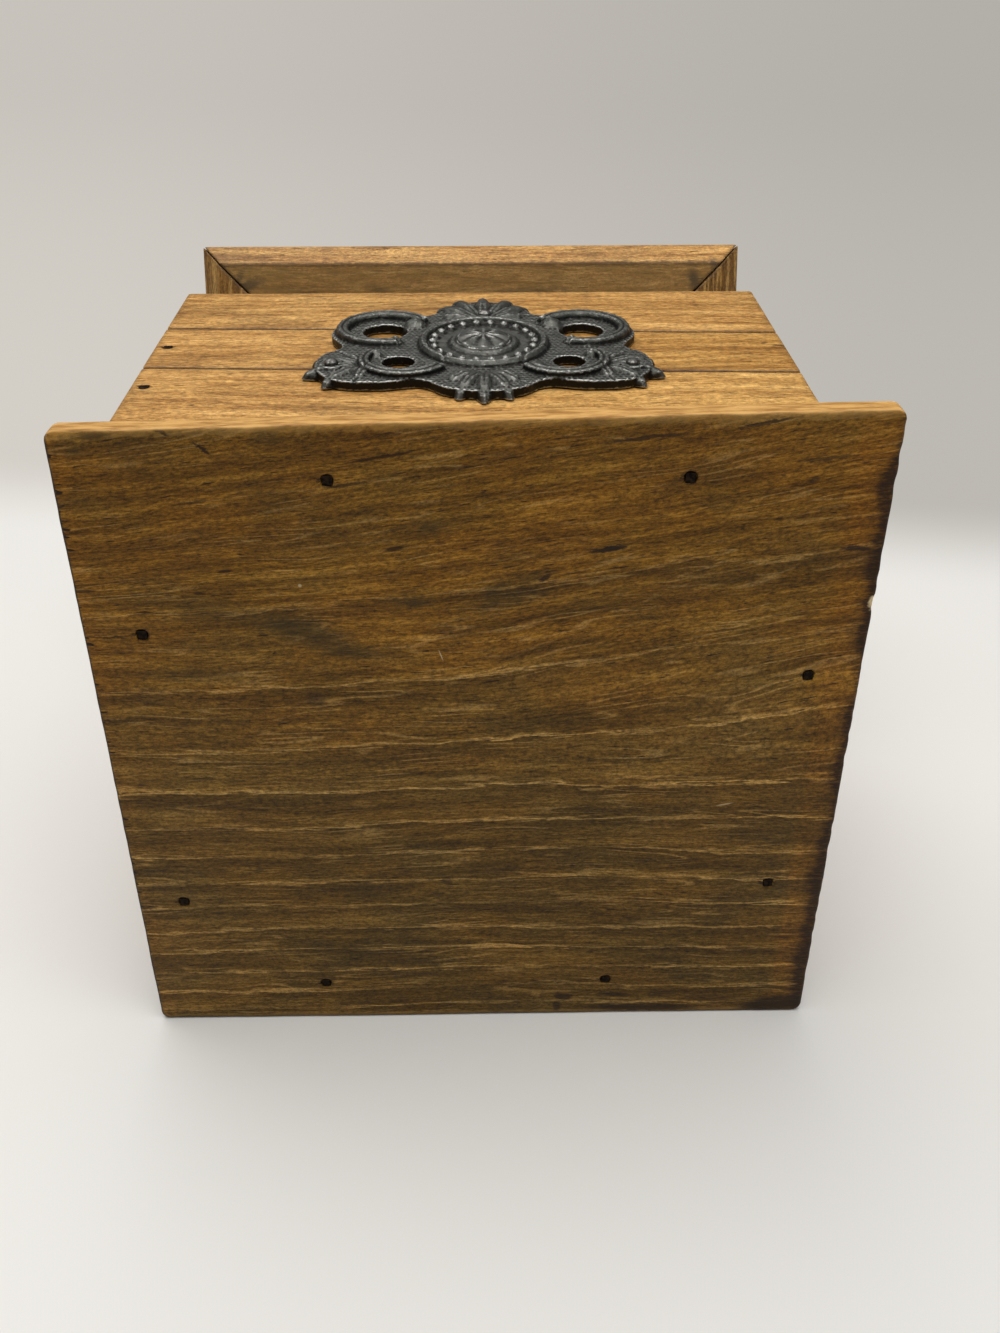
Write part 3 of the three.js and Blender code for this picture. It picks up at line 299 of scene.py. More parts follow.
paper = bpy.data.materials.new("paper")
paper.use_nodes = True
paper_shader = paper.node_tree.nodes["Principled BSDF"]
paper_shader.inputs["Base Color"].default_value = PAPER_WHITE
paper_shader.inputs["Roughness"].default_value = 0.85
paper_shader.inputs["Specular IOR Level"].default_value = 0.2
w = Weaver(paper.node_tree)
x, y, _ = w.split(paper.node_tree.nodes.new("ShaderNodeTexCoord").outputs["Object"])
straight = w.math("MULTIPLY", y, math.cos(FOLD_ASKEW))
behind = w.math("SUBTRACT", straight, w.math("MULTIPLY", x, math.sin(FOLD_ASKEW)))
depth = w.math("MAXIMUM", w.math("ADD", y, CAMERA_FOOT_BACK), LEAST_DEPTH)
side = w.math("DIVIDE", x, depth)
grey = w.mix(w.step(side, -VIEW_SLOPE, VIEW_SLOPE), FAR_LEFT_PAINTED_SHADE, FAR_RIGHT_PAINTED_SHADE)
# Painted shade: the grey darkens further back.
grey = w.scaled(grey, w.step(behind, 0.16, 1.20, 1.0, 0.88))
painted_shade_paper = paper.node_tree.nodes.new("ShaderNodeEmission")
w.put(painted_shade_paper.inputs["Color"], grey)
seen_by = paper.node_tree.nodes.new("ShaderNodeLightPath").outputs
looked_at = w.math("MAXIMUM", seen_by["Is Camera Ray"], seen_by["Is Glossy Ray"])
blend = paper.node_tree.nodes.new("ShaderNodeMixShader")
away = w.vector("LENGTH", w.combine(x, y, 0.0), out=1)
past_fold = w.step(behind, FOLD_START, FOLD_END)
beyond = w.math("MAXIMUM", past_fold, w.step(away, SIDES_START, SIDES_END))
w.put(blend.inputs[0], w.math("MULTIPLY", beyond, looked_at))
w.put(blend.inputs[1], paper_shader.outputs[0])
w.put(blend.inputs[2], painted_shade_paper.outputs[0])
w.put(paper.node_tree.nodes["Material Output"].inputs[0], blend.outputs[0])
sheet.data.materials.append(paper)
print("fold, mm behind the middle:", FOLD_START / MM, "to", FOLD_END / MM)

# %% [markdown]
# ## Pine, as it grows
#
# A board is a slice of a tree, so its figure comes from one rule: growth rings are shells about
# the pith, bent a little along the trunk. Where a flat board cuts them close to a tangent they
# run as long arches, and where it cuts them squarely they run as straight lines. Stain sinks into
# the soft early wood and leaves each hard ring lighter: a pale line that swells slowly and ends
# sharply. Over that lie the fine fibre, short dark resin ducts and the cloudiness of wiped stain.
#
# The scales below are per millimetre, in the order along, across and through: a small first number
# draws a pattern out along the grain.


# %% One node group holds the figure of the wood, in board coordinates: along, across, through, in mm
SEED_SHIFT = (41.7, 17.3, 9.1)
RIPPLE_SHARE = 0.28
FRAY = 4.0
# A pith deeper than this shows less and less of the trunk's bend.
SHALLOW_PITH = 25.0
HAIR_LEVELS = 11.0
def pine_group():
    tree = bpy.data.node_groups.new("pine_figure", "ShaderNodeTree")
    for name, kind in (
        ("Board", "NodeSocketVector"),
        ("Seed", "NodeSocketFloat"),
        ("Pith across", "NodeSocketFloat"),
        ("Pith through", "NodeSocketFloat"),
        ("Ring width", "NodeSocketFloat"),
        ("First ring", "NodeSocketFloat"),
        ("Wander", "NodeSocketFloat"),
        ("Uneven years", "NodeSocketFloat"),
        ("Line width", "NodeSocketFloat"),
    ):
        tree.interface.new_socket(name, in_out="INPUT", socket_type=kind)
    for name in ("Ring", "Early", "Fibre", "Streak", "Duct", "Fleck", "Grain", "Cloud", "Hair"):
        tree.interface.new_socket(name, in_out="OUTPUT", socket_type="NodeSocketFloat")
    w = Weaver(tree)
    given = tree.nodes.new("NodeGroupInput").outputs
    result = tree.nodes.new("NodeGroupOutput").inputs

    shift = w.scaled(SEED_SHIFT, given["Seed"])
    at = w.vector("ADD", given["Board"], shift)

    # The trunk bends slowly along its length, with small ripples.
    slow = w.drawn(at, (0.011, 0.018, 0.018), 1.5, 0.5, colour=True)
    quick = w.drawn(at, (0.035, 0.10, 0.10), 2.0, 0.55, colour=True)
    bend = w.vector("SUBTRACT", slow, (0.5, 0.5, 0.5))
    ripple = w.vector("SUBTRACT", quick, (0.5, 0.5, 0.5))
    moved = w.vector("ADD", bend, w.scaled(ripple, RIPPLE_SHARE))
    moved = w.scaled(moved, given["Wander"])
    fray = w.swing(w.drawn(at, (0.10, 1.2, 1.2), 3.0, 0.6), FRAY)
    _, along_across, along_through = w.split(moved)
    _, across, through = w.split(given["Board"])
    depth = w.math("ABSOLUTE", given["Pith through"])
    shown = w.math("MINIMUM", w.math("DIVIDE", SHALLOW_PITH, depth), 1.0)
    frayed = w.math("ADD", across, fray)
    dy = w.math("SUBTRACT", w.math("ADD", frayed, along_across), given["Pith across"])
    dz = w.math("SUBTRACT", through, given["Pith through"])
    dz = w.math("ADD", dz, w.math("MULTIPLY", along_through, shown))
    radius = w.math("SQRT", w.math("ADD", w.math("MULTIPLY", dy, dy), w.math("MULTIPLY", dz, dz)))
    # Good years and lean years: the rings are not evenly wide.
    years = w.noise(w.combine(w.math("MULTIPLY", radius, 0.11), given["Seed"], 0.0), 1.0, 2.0)
    years = w.math("MULTIPLY", years, given["Uneven years"])
    phase = w.math("DIVIDE", radius, given["Ring width"])
    phase = w.math("ADD", w.math("SUBTRACT", phase, given["First ring"]), years)
    tooth = w.math("FRACT", phase)
    # The pale line is equally wide however slantwise the board cuts the ring.
    slant = w.math("DIVIDE", radius, w.math("MAXIMUM", w.math("ABSOLUTE", dy), 1.0))
    spacing = w.math("MULTIPLY", given["Ring width"], slant)
    before = w.math("MULTIPLY", w.math("SUBTRACT", 1.0, tooth), spacing)
    after = w.math("MULTIPLY", tooth, spacing)
    rise = w.step(w.math("DIVIDE", before, given["Line width"]), 0.0, 1.0, 1.0, 0.0)
    fall = w.step(after, 0.0, 0.25, 0.6, 0.0)
    line = w.math("MAXIMUM", rise, fall)
    strength = w.step(w.drawn(at, (0.035, 0.22, 0.22)), 0.32, 0.60, 0.15, 1.0)
    w.put(result["Ring"], w.math("MULTIPLY", line, strength))
    # The first early wood of each year drinks the most stain.
    drunk = w.step(w.math("DIVIDE", after, spacing), 0.0, 0.55, 1.0, 0.0)
    w.put(result["Early"], w.math("MULTIPLY", drunk, w.step(spacing, 2.0, 4.0)))

    # The finer patterns flow round the bends as the rings do.
    flow = w.vector("ADD", at, moved)
    w.put(result["Fibre"], w.drawn(flow, (0.24, 2.3, 2.3), 4.0, 0.76))
    w.put(result["Streak"], w.drawn(flow, (0.026, 0.42, 0.42), 4.0, 0.6))
    w.put(result["Duct"], w.step(w.drawn(flow, (0.26, 3.4, 3.4), 1.5), 0.655, 0.74))
    w.put(result["Fleck"], w.drawn(flow, (0.70, 1.7, 1.7), 4.0, 0.78))
    w.put(result["Grain"], w.drawn(flow, (0.95, 2.0, 2.0), 4.0, 0.82))
    w.put(result["Cloud"], w.drawn(at, (0.030, 0.070, 0.070), 3.5, 0.6))
    # Hair lines: level curves of a long noise, which come and go along the board.
    levels = w.math("MULTIPLY", w.drawn(flow, (0.012, 0.17, 0.17), 2.0, 0.55), HAIR_LEVELS)
    from_curve = w.math("SUBTRACT", w.math("FRACT", levels), 0.5)
    hair = w.step(w.math("ABSOLUTE", from_curve), 0.02, 0.17, 1.0, 0.0)
    shown_here = w.drawn(at, (0.045, 0.20, 0.20), 2.5, 0.6)
    w.put(result["Hair"], w.math("MULTIPLY", hair, w.step(shown_here, 0.46, 0.62)))
    return tree


PINE = pine_group()
print("pine figure:", len(PINE.nodes), "nodes")


# %% [markdown]
# A board's own axes and edges are measured from its vertices, so that the same material fits every
# board however it lies in the frame.


# %% Where a board's own axes lie: its centre, half sizes and unit vectors
def board_axes(obj, along, across):
    along, across = Vector(along).normalized(), Vector(across).normalized()
    through = along.cross(across).normalized()
    corners = np.array([v.co for v in obj.data.vertices])
    axes = np.array([along, across, through])
    spans = corners @ axes.T
    low, high = spans.min(0), spans.max(0)
    centre = Vector(((low + high) / 2) @ axes)
    return centre, Vector((high - low) / 2), (along, across, through)


# The two long edges as straight lines, each by its place at the board's middle and its slope
END_ZONE = 0.0005


def long_edges(obj, centre, axes):
    corners = (np.array([v.co for v in obj.data.vertices]) - np.array(centre)) @ np.array(axes).T
    reach = corners[:, 0].max()
    left, right = (corners[corners[:, 0] * side > reach - END_ZONE, 1] for side in (-1, 1))
    lines = []
    for pick in (np.min, np.max):
        at_left, at_right = float(pick(left)), float(pick(right))
        lines.append(((at_left + at_right) / 2 / MM, (at_right - at_left) / (2 * reach)))
    return lines


base_half = board_axes(nodes["base_board"], (1, 0, 0), (0, 0, 1))[1]
print("base board half sizes mm:", [round(v / MM, 1) for v in base_half])

# %% [markdown]
# The wood's material reads the figure and lays on the stain. It knows how far each point is from
# the board's arrises, because worn edges go pale and inner corners gather dirt. `warp` may bend
# the grain of one board, `coarse` may stretch it, `zone` may bring in a second tone over a part
# of the board, and `marks` may add that board's own stains and scars. The tones are a dictionary:
# colours of the wood and how strongly each part of the figure shows.


# %% The wood itself: the figure, coloured and worn
ARRIS_TEAR = 2.2
WEAR_FROM, WEAR_TO = 0.10, 0.80
GRIME_FROM, GRIME_TO = 0.3, 2.4
SEAM_FROM, SEAM_TO, SEAM_DARK = 0.12, 0.62, 0.93
GRAIN_RELIEF, GRAIN_STRENGTH = 0.00016, 0.75


def wood(obj, name, along, across, seed, pith, ring_width, tones, **choice):
    measured = choice.get("measured", obj)
    centre, half, axes = board_axes(measured, along, across)
    material = bpy.data.materials.new(name)
    material.use_nodes = True
    tree = material.node_tree
    shader = tree.nodes["Principled BSDF"]
    w = Weaver(tree)

    # From the object's own coordinates to board coordinates in millimetres.
    place = tree.nodes.new("ShaderNodeTexCoord").outputs["Object"]
    offset = w.vector("SUBTRACT", place, tuple(centre))
    parts = [
        w.math("MULTIPLY", w.vector("DOT_PRODUCT", offset, tuple(axis), out=1), 1 / MM)
        for axis in axes
    ]
    plain = w.combine(*parts)
    board = choice["warp"](w, parts) if "warp" in choice else plain
    if "coarse" in choice:
        board = w.vector("MULTIPLY", board, choice["coarse"])

    figure = tree.nodes.new("ShaderNodeGroup")
    figure.node_tree = PINE
    w.put(figure.inputs["Board"], board)
    for socket, value in (
        ("Seed", seed),
        ("Pith across", pith[0]),
        ("Pith through", pith[1]),
        ("Ring width", ring_width),
        ("First ring", choice.get("first_ring", 0.0)),
        ("Wander", choice.get("wander", 9.0)),
        ("Uneven years", choice.get("uneven", 1.6)),
        ("Line width", choice.get("line", 1.1)),
    ):
        figure.inputs[socket].default_value = value
    seen = {output.name: output for output in figure.outputs}

    # How far the point is from the nearest arris: the middle one of its distances to the faces.
    gaps = [
        w.math("SUBTRACT", size / MM, w.math("ABSOLUTE", part)) for size, part in zip(half, parts)
    ]
    if choice.get("askew"):
        low_line, high_line = [
            w.math("ADD", w.math("MULTIPLY", parts[0], slope), start)
            for start, slope in long_edges(measured, centre, axes)
        ]
        above = w.math("SUBTRACT", parts[1], low_line)
        below = w.math("SUBTRACT", high_line, parts[1])
        gaps[1] = w.math("MINIMUM", above, below)
    least = w.math("MINIMUM", gaps[0], gaps[1])
    most = w.math("MAXIMUM", gaps[0], gaps[1])
    edge = w.math("MAXIMUM", least, w.math("MINIMUM", most, gaps[2]))
    ragged = w.drawn(plain, (0.5, 0.6, 0.6), 3.5, 0.65)

    def stained(t):
        mixed = w.math(
            "ADD",
            w.math("MULTIPLY", seen["Fibre"], 0.50),
            w.math("MULTIPLY", seen["Streak"], 0.50),
        )
        spread = choice.get("spread", 0.13)
        stops = [(0.50 - spread, t["deep"]), (0.50, t["soft"]), (0.50 + spread, t["hard"])]
        return w.ramp(mixed, stops)

    ring = w.math("MULTIPLY", seen["Ring"], tones["ring"])
    cloud = tones["cloud"]
    if choice.get("zone"):
        other, share = choice["zone"](w, parts, seen)
        colour = w.mix(share, stained(tones), stained(other))
        ring = w.math("MULTIPLY", ring, w.step(share, 0.0, 1.0, 1.0, other["ring"]))
        cloud = w.step(share, 0.0, 1.0, cloud, other["cloud"])
    else:
        colour = stained(tones)
    colour = w.mix(w.math("MULTIPLY", seen["Early"], tones["early"]), colour, tones["deep"])
    # Wiped stain lies unevenly, and the dark clouds are broken up by the fleck of the grain.
    dusk = w.math("ADD", seen["Cloud"], w.swing(seen["Fleck"], 0.5))
    colour = w.mix(w.step(dusk, 0.50, 0.66, 0.0, cloud), colour, tones["dusk"])
    colour = w.mix(w.step(seen["Fleck"], 0.56, 0.72, 0.0, tones["fleck"]), colour, tones["deep"])
    colour = w.mix(w.math("MULTIPLY", seen["Hair"], tones["hair"]), colour, tones["pale"])
    colour = w.mix(ring, colour, tones["pale"])
    colour = w.mix(w.math("MULTIPLY", seen["Duct"], tones["duct"]), colour, tones["pore"])
    contrast = tones["grain"]
    colour = w.scaled(colour, w.step(seen["Grain"], 0.30, 0.70, 1 - contrast, 1 + contrast))

    # Arrises: dirt a little way in, and rubbed pale wood right on them.
    torn = w.swing(ragged, ARRIS_TEAR)
    worn_edge = w.math("ADD", edge, torn)
    wear = w.step(worn_edge, WEAR_FROM, WEAR_TO, choice.get("wear", 0.5), 0.0)
    dirty_edge = w.math("ADD", edge, w.math("MULTIPLY", torn, 1.5))
    grime = w.step(dirty_edge, GRIME_FROM, GRIME_TO, choice.get("grime", 0.3), 0.0)
    colour = w.mix(grime, colour, tones["dusk"])
    colour = w.mix(wear, colour, tones["pale"])
    if choice.get("seams"):
        seam_edge = w.math("ADD", gaps[1], w.math("MULTIPLY", torn, 0.15))
        seam = w.step(seam_edge, SEAM_FROM, SEAM_TO, SEAM_DARK, 0.0)
        on_face = w.step(gaps[2], 0.5, 1.2, 1.0, 0.0)
        colour = w.mix(w.math("MULTIPLY", seam, on_face), colour, tones["pore"])

    dry = w.step(seen["Fleck"], 0.3, 0.7, 0.40, 0.56)
    roughness = w.math("ADD", dry, w.math("MULTIPLY", wear, 0.1))
    hard_line = w.math("MULTIPLY", seen["Ring"], 0.35)
    raised = w.math("SUBTRACT", hard_line, w.math("MULTIPLY", seen["Duct"], 1.1))
    height = w.math("ADD", w.math("MULTIPLY", seen["Fibre"], 0.8), raised)
    if choice.get("marks"):
        colour = choice["marks"](w, parts, gaps, ragged, colour)
    w.put(shader.inputs["Base Color"], colour)
    w.put(shader.inputs["Roughness"], roughness)
    w.put(shader.inputs["Normal"], w.bump(height, GRAIN_RELIEF, GRAIN_STRENGTH))
    shader.inputs["Specular IOR Level"].default_value = choice.get("sheen", 0.35)
    obj.data.materials.clear()
    obj.data.materials.append(material)
    print(name, "half sizes mm:", [round(v / MM, 1) for v in half])


# %% [markdown]
# ## Stains and scars
#
# A mark is an ellipse in board coordinates. Its row gives where it is, its half length and half
# width in millimetres, its slope in degrees and how strongly it shows. It is at full strength out
# to `heart` of its own size and gone at `rim`. The coordinates are torn by a noise first, which
# makes ragged rims.


# %% Marks, laid over a colour one after another
def marked(w, place, rows, colour, ink, heart=0.50, rim=1.15):
    for x, y, long_half, wide_half, slope, strength in rows:
        turned = w.tree.nodes.new("ShaderNodeVectorRotate")
        turned.rotation_type = "Z_AXIS"
        w.put(turned.inputs["Vector"], place)
        turned.inputs["Center"].default_value = (x, y, 0)
        turned.inputs["Angle"].default_value = -math.radians(slope)
        offset = w.vector("SUBTRACT", turned.outputs[0], (x, y, 0))
        scaled = w.vector("DIVIDE", offset, (long_half, wide_half, 1.0))
        reach = w.vector("LENGTH", scaled, out=1)
        colour = w.mix(w.step(reach, heart, rim, strength, 0.0), colour, ink)
    return colour


# Coordinates on a face, torn by up to about this size in millimetres
def torn_place(w, a, b, size):
    flat = w.combine(a, b, 0.0)
    tear = w.drawn(flat, (0.55, 1.3, 1.0), 3.0, 0.65, colour=True)
    tear = w.scaled(w.vector("SUBTRACT", tear, (0.5, 0.5, 0.5)), size)
    return w.vector("MULTIPLY", w.vector("ADD", flat, tear), (1.0, 1.0, 0.0))


# %% [markdown]
# ## Boards with a hand-worked surface
#
# Sawn and sanded boards are never quite flat and their arrises are rubbed round. A fine voxel
# remesh rounds every edge a little, a slow displacement makes the faces waver by up to a fifth of
# a millimetre, always inwards, and a decimation keeps only the points that matter.


# %% Modifiers that turn a machine-straight board into a hand-worked one
KEPT_POINTS = 0.3
waver = bpy.data.textures.new("waver", "CLOUDS")
waver.noise_scale = 0.02
waver.noise_depth = 2


def hand_worked(obj, voxel, depth):
    remesh = obj.modifiers.new("remesh", "REMESH")
    remesh.mode = "VOXEL"
    remesh.voxel_size = voxel
    remesh.use_smooth_shade = True
    soften = obj.modifiers.new("soften", "SMOOTH")
    soften.factor = 0.5
    soften.iterations = 2
    displace = obj.modifiers.new("waver", "DISPLACE")
    displace.texture = waver
    displace.texture_coords = "LOCAL"
    displace.strength = depth
    displace.mid_level = 1.0
    thin = obj.modifiers.new("thin", "DECIMATE")
    thin.ratio = KEPT_POINTS


# Small metal pieces only have their edges eased.
def eased(obj, width):
    bevel = obj.modifiers.new("eased", "BEVEL")
    bevel.width = width
    bevel.segments = 2
    bevel.limit_method = "ANGLE"
    bevel.angle_limit = math.radians(25)


print("waver: clouds of", round(waver.noise_scale / MM), "mm")

# %% [markdown]
# Some boards need more than modifiers can do, such as a chip out of one edge. Those are sculpted:
# the packed board is remeshed finely, its points are moved as arrays, and the result stands in
# for it.


# %% A packed piece as fine arrays, and back again as a new piece
body_of = {}
for body, members in frame["record"]["behaviour"]["bodies"].items():
    for member in members:
        body_of[member] = body
print("pieces on", sorted(set(body_of.values())), "in all:", len(body_of))


def fine_arrays(node, voxel, rounds):
    remesh = node.modifiers.new("remesh", "REMESH")
    remesh.mode = "VOXEL"
    remesh.voxel_size = voxel
    soften = node.modifiers.new("soften", "SMOOTH")
    soften.factor = 0.5
    soften.iterations = rounds
    seen = node.evaluated_get(bpy.context.evaluated_depsgraph_get())
    mesh = seen.to_mesh()
    points = np.empty(len(mesh.vertices) * 3)
    mesh.vertices.foreach_get("co", points)
    normals = np.empty(len(mesh.vertices) * 3)
    mesh.vertices.foreach_get("normal", normals)
    faces = [tuple(p.vertices) for p in mesh.polygons]
    seen.to_mesh_clear()
    node.modifiers.remove(soften)
    node.modifiers.remove(remesh)
    return points.reshape(-1, 3), normals.reshape(-1, 3), faces


def stand_in(name, node_name, points, faces, keep):
    mesh = bpy.data.meshes.new(name)
    mesh.from_pydata(points.tolist(), [], faces)
    mesh.shade_smooth()
    obj = bpy.data.objects.new(name, mesh)
    bpy.context.scene.collection.objects.link(obj)
    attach(obj, body_of[node_name])
    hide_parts(node_name)
    thin = obj.modifiers.new("thin", "DECIMATE")
    thin.ratio = keep
    return obj


# Smooth seeded noise on points, as a sum of a few waves in random directions
def waves(points, length, seed, count=10):
    rng = np.random.default_rng(seed)
    total = np.zeros(len(points))
    for _ in range(count):
        direction = rng.normal(size=3)
        direction /= np.linalg.norm(direction)
        turns = 2 * math.pi / (length * rng.uniform(0.6, 1.6))
        total += np.sin(points @ direction * turns + rng.uniform(0, 2 * math.pi))
    return total / math.sqrt(count)


# %% [markdown]
# ## The base board
#
# The base board is the largest thing in the picture. It is sculpted first: faces that waver by
# about a tenth of a millimetre, a rougher right-hand edge, and the chip in that edge.

# %% Base board: shape
BASE_VOXEL = 0.00040
SKIN = 0.00010
SLOW_WAVER, QUICK_WAVER, EDGE_WAVER = 0.00006, 0.00002, 0.00012
EDGE_ZONE = 0.002
CHIP_AT, CHIP_SIZE, CHIP_DEPTH = (0.0764, 0.1124), (0.0013, 0.0015), 0.0005

points, normals, faces = fine_arrays(nodes["base_board"], BASE_VOXEL, 3)
inwards = SKIN + SLOW_WAVER * waves(points, 0.030, 5) + QUICK_WAVER * waves(points, 0.004, 6)
inwards = np.clip(inwards, 0, None)
right_edge = np.clip((points[:, 0] - base_high.x + EDGE_ZONE) / EDGE_ZONE, 0, 1)
inwards += right_edge * np.clip(EDGE_WAVER * waves(points * (0.2, 1, 1), 0.005, 7), 0, None)
chip_x, chip_z = (points[:, (0, 2)] - CHIP_AT).T / np.array(CHIP_SIZE)[:, None]
chip = np.exp(-(chip_x**2 + chip_z**2))
inwards += CHIP_DEPTH * chip * (0.8 + 0.3 * waves(points, 0.0015, 8))
points = points - normals * inwards[:, None]
base = stand_in("base_board_worn", "base_board", points, faces, 0.35)
print("base board points:", len(points))

# %% [markdown]
# Its pith lies far behind the board and near its upper edge, so the rings come 6 mm apart at the
# bottom and 10 mm apart half way up. Above that the grain dips left of the middle and sweeps up
# to the right. The lower half has an olive cast and the upper half is warmer, so the board has
# two tones and one passes into the other.

# %% Base board: its two tones
X, Y, Z = (1, 0, 0), (0, 1, 0), (0, 0, 1)
# Both tones are far darker than the walls' GOLD: partly the board's own darker stain, partly painted shade, as
# this face is turned away from the overhead lamp. The upper tone is lighter than the lower partly as painted light
# falling from above, and partly because it is warmer wood.
BASE_LOW = dict(
    soft=(0.122, 0.063, 0.010),
    hard=(0.245, 0.138, 0.029),
    deep=(0.040, 0.021, 0.004),
    pale=(0.46, 0.275, 0.085),
    dusk=(0.045, 0.030, 0.009),
    pore=(0.016, 0.007, 0.002),
    ring=0.90,
    hair=0.38,
    early=0.30,
    grain=0.54,
    cloud=0.50,
    fleck=0.66,
    duct=0.90,
)
BASE_HIGH = dict(
    soft=(0.178, 0.079, 0.007),
    hard=(0.360, 0.180, 0.024),
    deep=(0.060, 0.025, 0.002),
    ring=0.55,
    cloud=0.35,
)
BASE_HALF_HEIGHT = (base_high.z - base_low.z) / 2 / MM
# Where the upper tone begins and where it is full, in millimetres of height, with a wiped border.
HIGH_FROM, HIGH_TO, BASE_WIPED = 62.0, 122.0, 150.0


def base_zone(w, parts, seen):
    height = w.math("ADD", parts[1], BASE_HALF_HEIGHT)
    height = w.math("ADD", height, w.swing(seen["Cloud"], BASE_WIPED))
    return BASE_HIGH, w.step(height, HIGH_FROM, HIGH_TO)


def base_warp(w, parts):
    x, height, through = parts
    height = w.math("ADD", height, BASE_HALF_HEIGHT)
    side = w.math("DIVIDE", w.math("ADD", x, 25.0), 45.0)
    bow = w.math("SQRT", w.math("ADD", w.math("MULTIPLY", side, side), 1.0))
    rise, fall = w.math("ADD", side, bow), w.math("SUBTRACT", side, bow)
    rise = w.math("MULTIPLY", rise, w.step(height, 62.0, 108.0, 0.0, 3.4))
    fall = w.math("MULTIPLY", fall, w.step(height, 100.0, 130.0, 0.0, 2.3))
    lifted = w.math("SUBTRACT", height, w.math("ADD", rise, fall))
    return w.combine(x, w.math("SUBTRACT", lifted, BASE_HALF_HEIGHT), through)


print("base board height mm:", round(2 * BASE_HALF_HEIGHT, 1))

# %% [markdown]
# The marks are placed where the real board has them: short black stains, thin dashes where dirt
# has caught in the grain, broad faint smudges from wiping, and a few pale scratches through the
# stain. Every row is across from the middle, up from the bottom, half length, half width, slope
# and strength.

# %% Base board: where its marks are
DARK_MARKS = [
    (24.1, 124.4, 4.2, 0.70, 8, 0.97),
    (26.0, 124.8, 2.0, 0.75, 6, 0.80),
    (12.7, 118.5, 1.6, 0.6, 35, 0.8),
    (70.5, 124.2, 3.6, 0.65, 0, 0.90),
    (-48.3, 145.0, 2.3, 0.35, -38, 0.9),
    (-55.2, 148.3, 2.4, 0.45, -28, 0.8),
    (-66.8, 147.6, 3.2, 0.8, 5, 0.6),
    (30.7, 146.6, 9.5, 0.45, 6, 0.75),
    (51.1, 149.2, 7.0, 0.45, 11, 0.80),
    (62.4, 142.3, 6.4, 0.45, 5, 0.7),
    (61.0, 138.2, 1.2, 0.7, 20, 0.6),
    (19.0, 5.9, 2.6, 1.3, -5, 0.85),
    (17.6, 2.8, 1.2, 2.0, 0, 0.75),
    (31.1, 6.3, 4.2, 0.8, -6, 0.80),
    (38.2, 1.9, 16.0, 1.3, -1, 0.85),
    (42.0, 6.3, 4.0, 1.4, 0, 0.50),
    (55.0, 4.6, 9.0, 1.6, -3, 0.42),
    (69.5, 2.6, 10.0, 3.2, 8, 0.90),
    (-7.4, 42.5, 1.1, 1.5, 25, 0.6),
    (-70.4, 106.3, 4.5, 0.3, 2, 0.7),
    (-14.6, 129.0, 4.5, 0.6, 18, 0.4),
    (-32.4, 91.3, 2.6, 2.0, 10, 0.5),
]
DASHES = [
    (-17.0, 143.2, 7.6, 0.36, 10, 0.88),
    (-23.1, 137.9, 5.0, 0.38, 9, 0.80),
    (-3.7, 140.9, 4.2, 0.36, 7, 0.65),
    (-15.3, 124.9, 2.4, 0.60, 12, 0.90),
    (-47.0, 120.5, 1.5, 0.45, 5, 0.85),
    (-51.6, 134.6, 4.0, 0.32, 7, 0.65),
    (-74.1, 116.4, 3.2, 0.40, 0, 0.80),
    (-63.1, 111.8, 1.8, 0.32, 0, 0.85),
    (-52.4, 115.8, 1.5, 0.35, 0, 0.75),
    (32.5, 125.8, 3.2, 0.30, 2, 0.60),
    (55.5, 123.0, 1.6, 0.32, -4, 0.60),
    (56.9, 130.6, 14.0, 0.26, 3, 0.45),
    (55.6, 130.4, 0.9, 0.45, 0, 0.70),
    (49.8, 110.8, 1.8, 0.30, 8, 0.60),
    (15.8, 109.2, 2.0, 0.30, 12, 0.60),
]
SMUDGES = [
    (-8.5, 129.3, 2.8, 1.8, 12, 0.45),
    (-11.4, 113.3, 3.6, 1.2, 0, 0.50),
    (-36.9, 146.8, 4.2, 1.8, 0, 0.45),
    (10.5, 118.8, 5.0, 1.7, 12, 0.50),
    (3.6, 116.4, 4.0, 1.2, 25, 0.45),
    (-72.0, 145.0, 4.5, 2.4, 0, 0.30),
    (-72.5, 134.5, 6.0, 1.6, 8, 0.26),
    (-34.0, 107.5, 12.0, 3.6, -14, 0.68),
    (-27.0, 103.0, 9.0, 2.4, -10, 0.60),
    (-52.0, 112.5, 12.0, 3.4, -6, 0.40),
    (-56.0, 97.5, 12.0, 2.2, -3, 0.36),
    (-38.0, 134.5, 6.0, 5.0, 8, 0.24),
    (-8.0, 129.5, 9.0, 3.0, 14, 0.30),
    (-14.0, 114.5, 6.0, 2.6, 8, 0.42),
    (6.0, 114.0, 11.0, 2.2, 10, 0.36),
    (24.0, 112.5, 13.0, 2.4, 4, 0.26),
    (-60.0, 143.0, 8.0, 5.0, 0, 0.26),
]
SCRATCHES = [
    (-7.3, 101.5, 1.4, 0.14, -72, 0.85),
    (51.8, 63.5, 2.0, 0.22, 12, 0.7),
    (-33.4, 117.3, 0.4, 0.4, 0, 0.8),
]
CHIP_MARKS = [(75.6, 112.5, 1.0, 1.6, 0, 0.97)]
base_nails = []
for name in nodes.keys():
    if name.startswith("base_nail_"):
        nail_low, nail_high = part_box(name)
        base_nails.append((Vector(nail_low) + Vector(nail_high)) / 2)
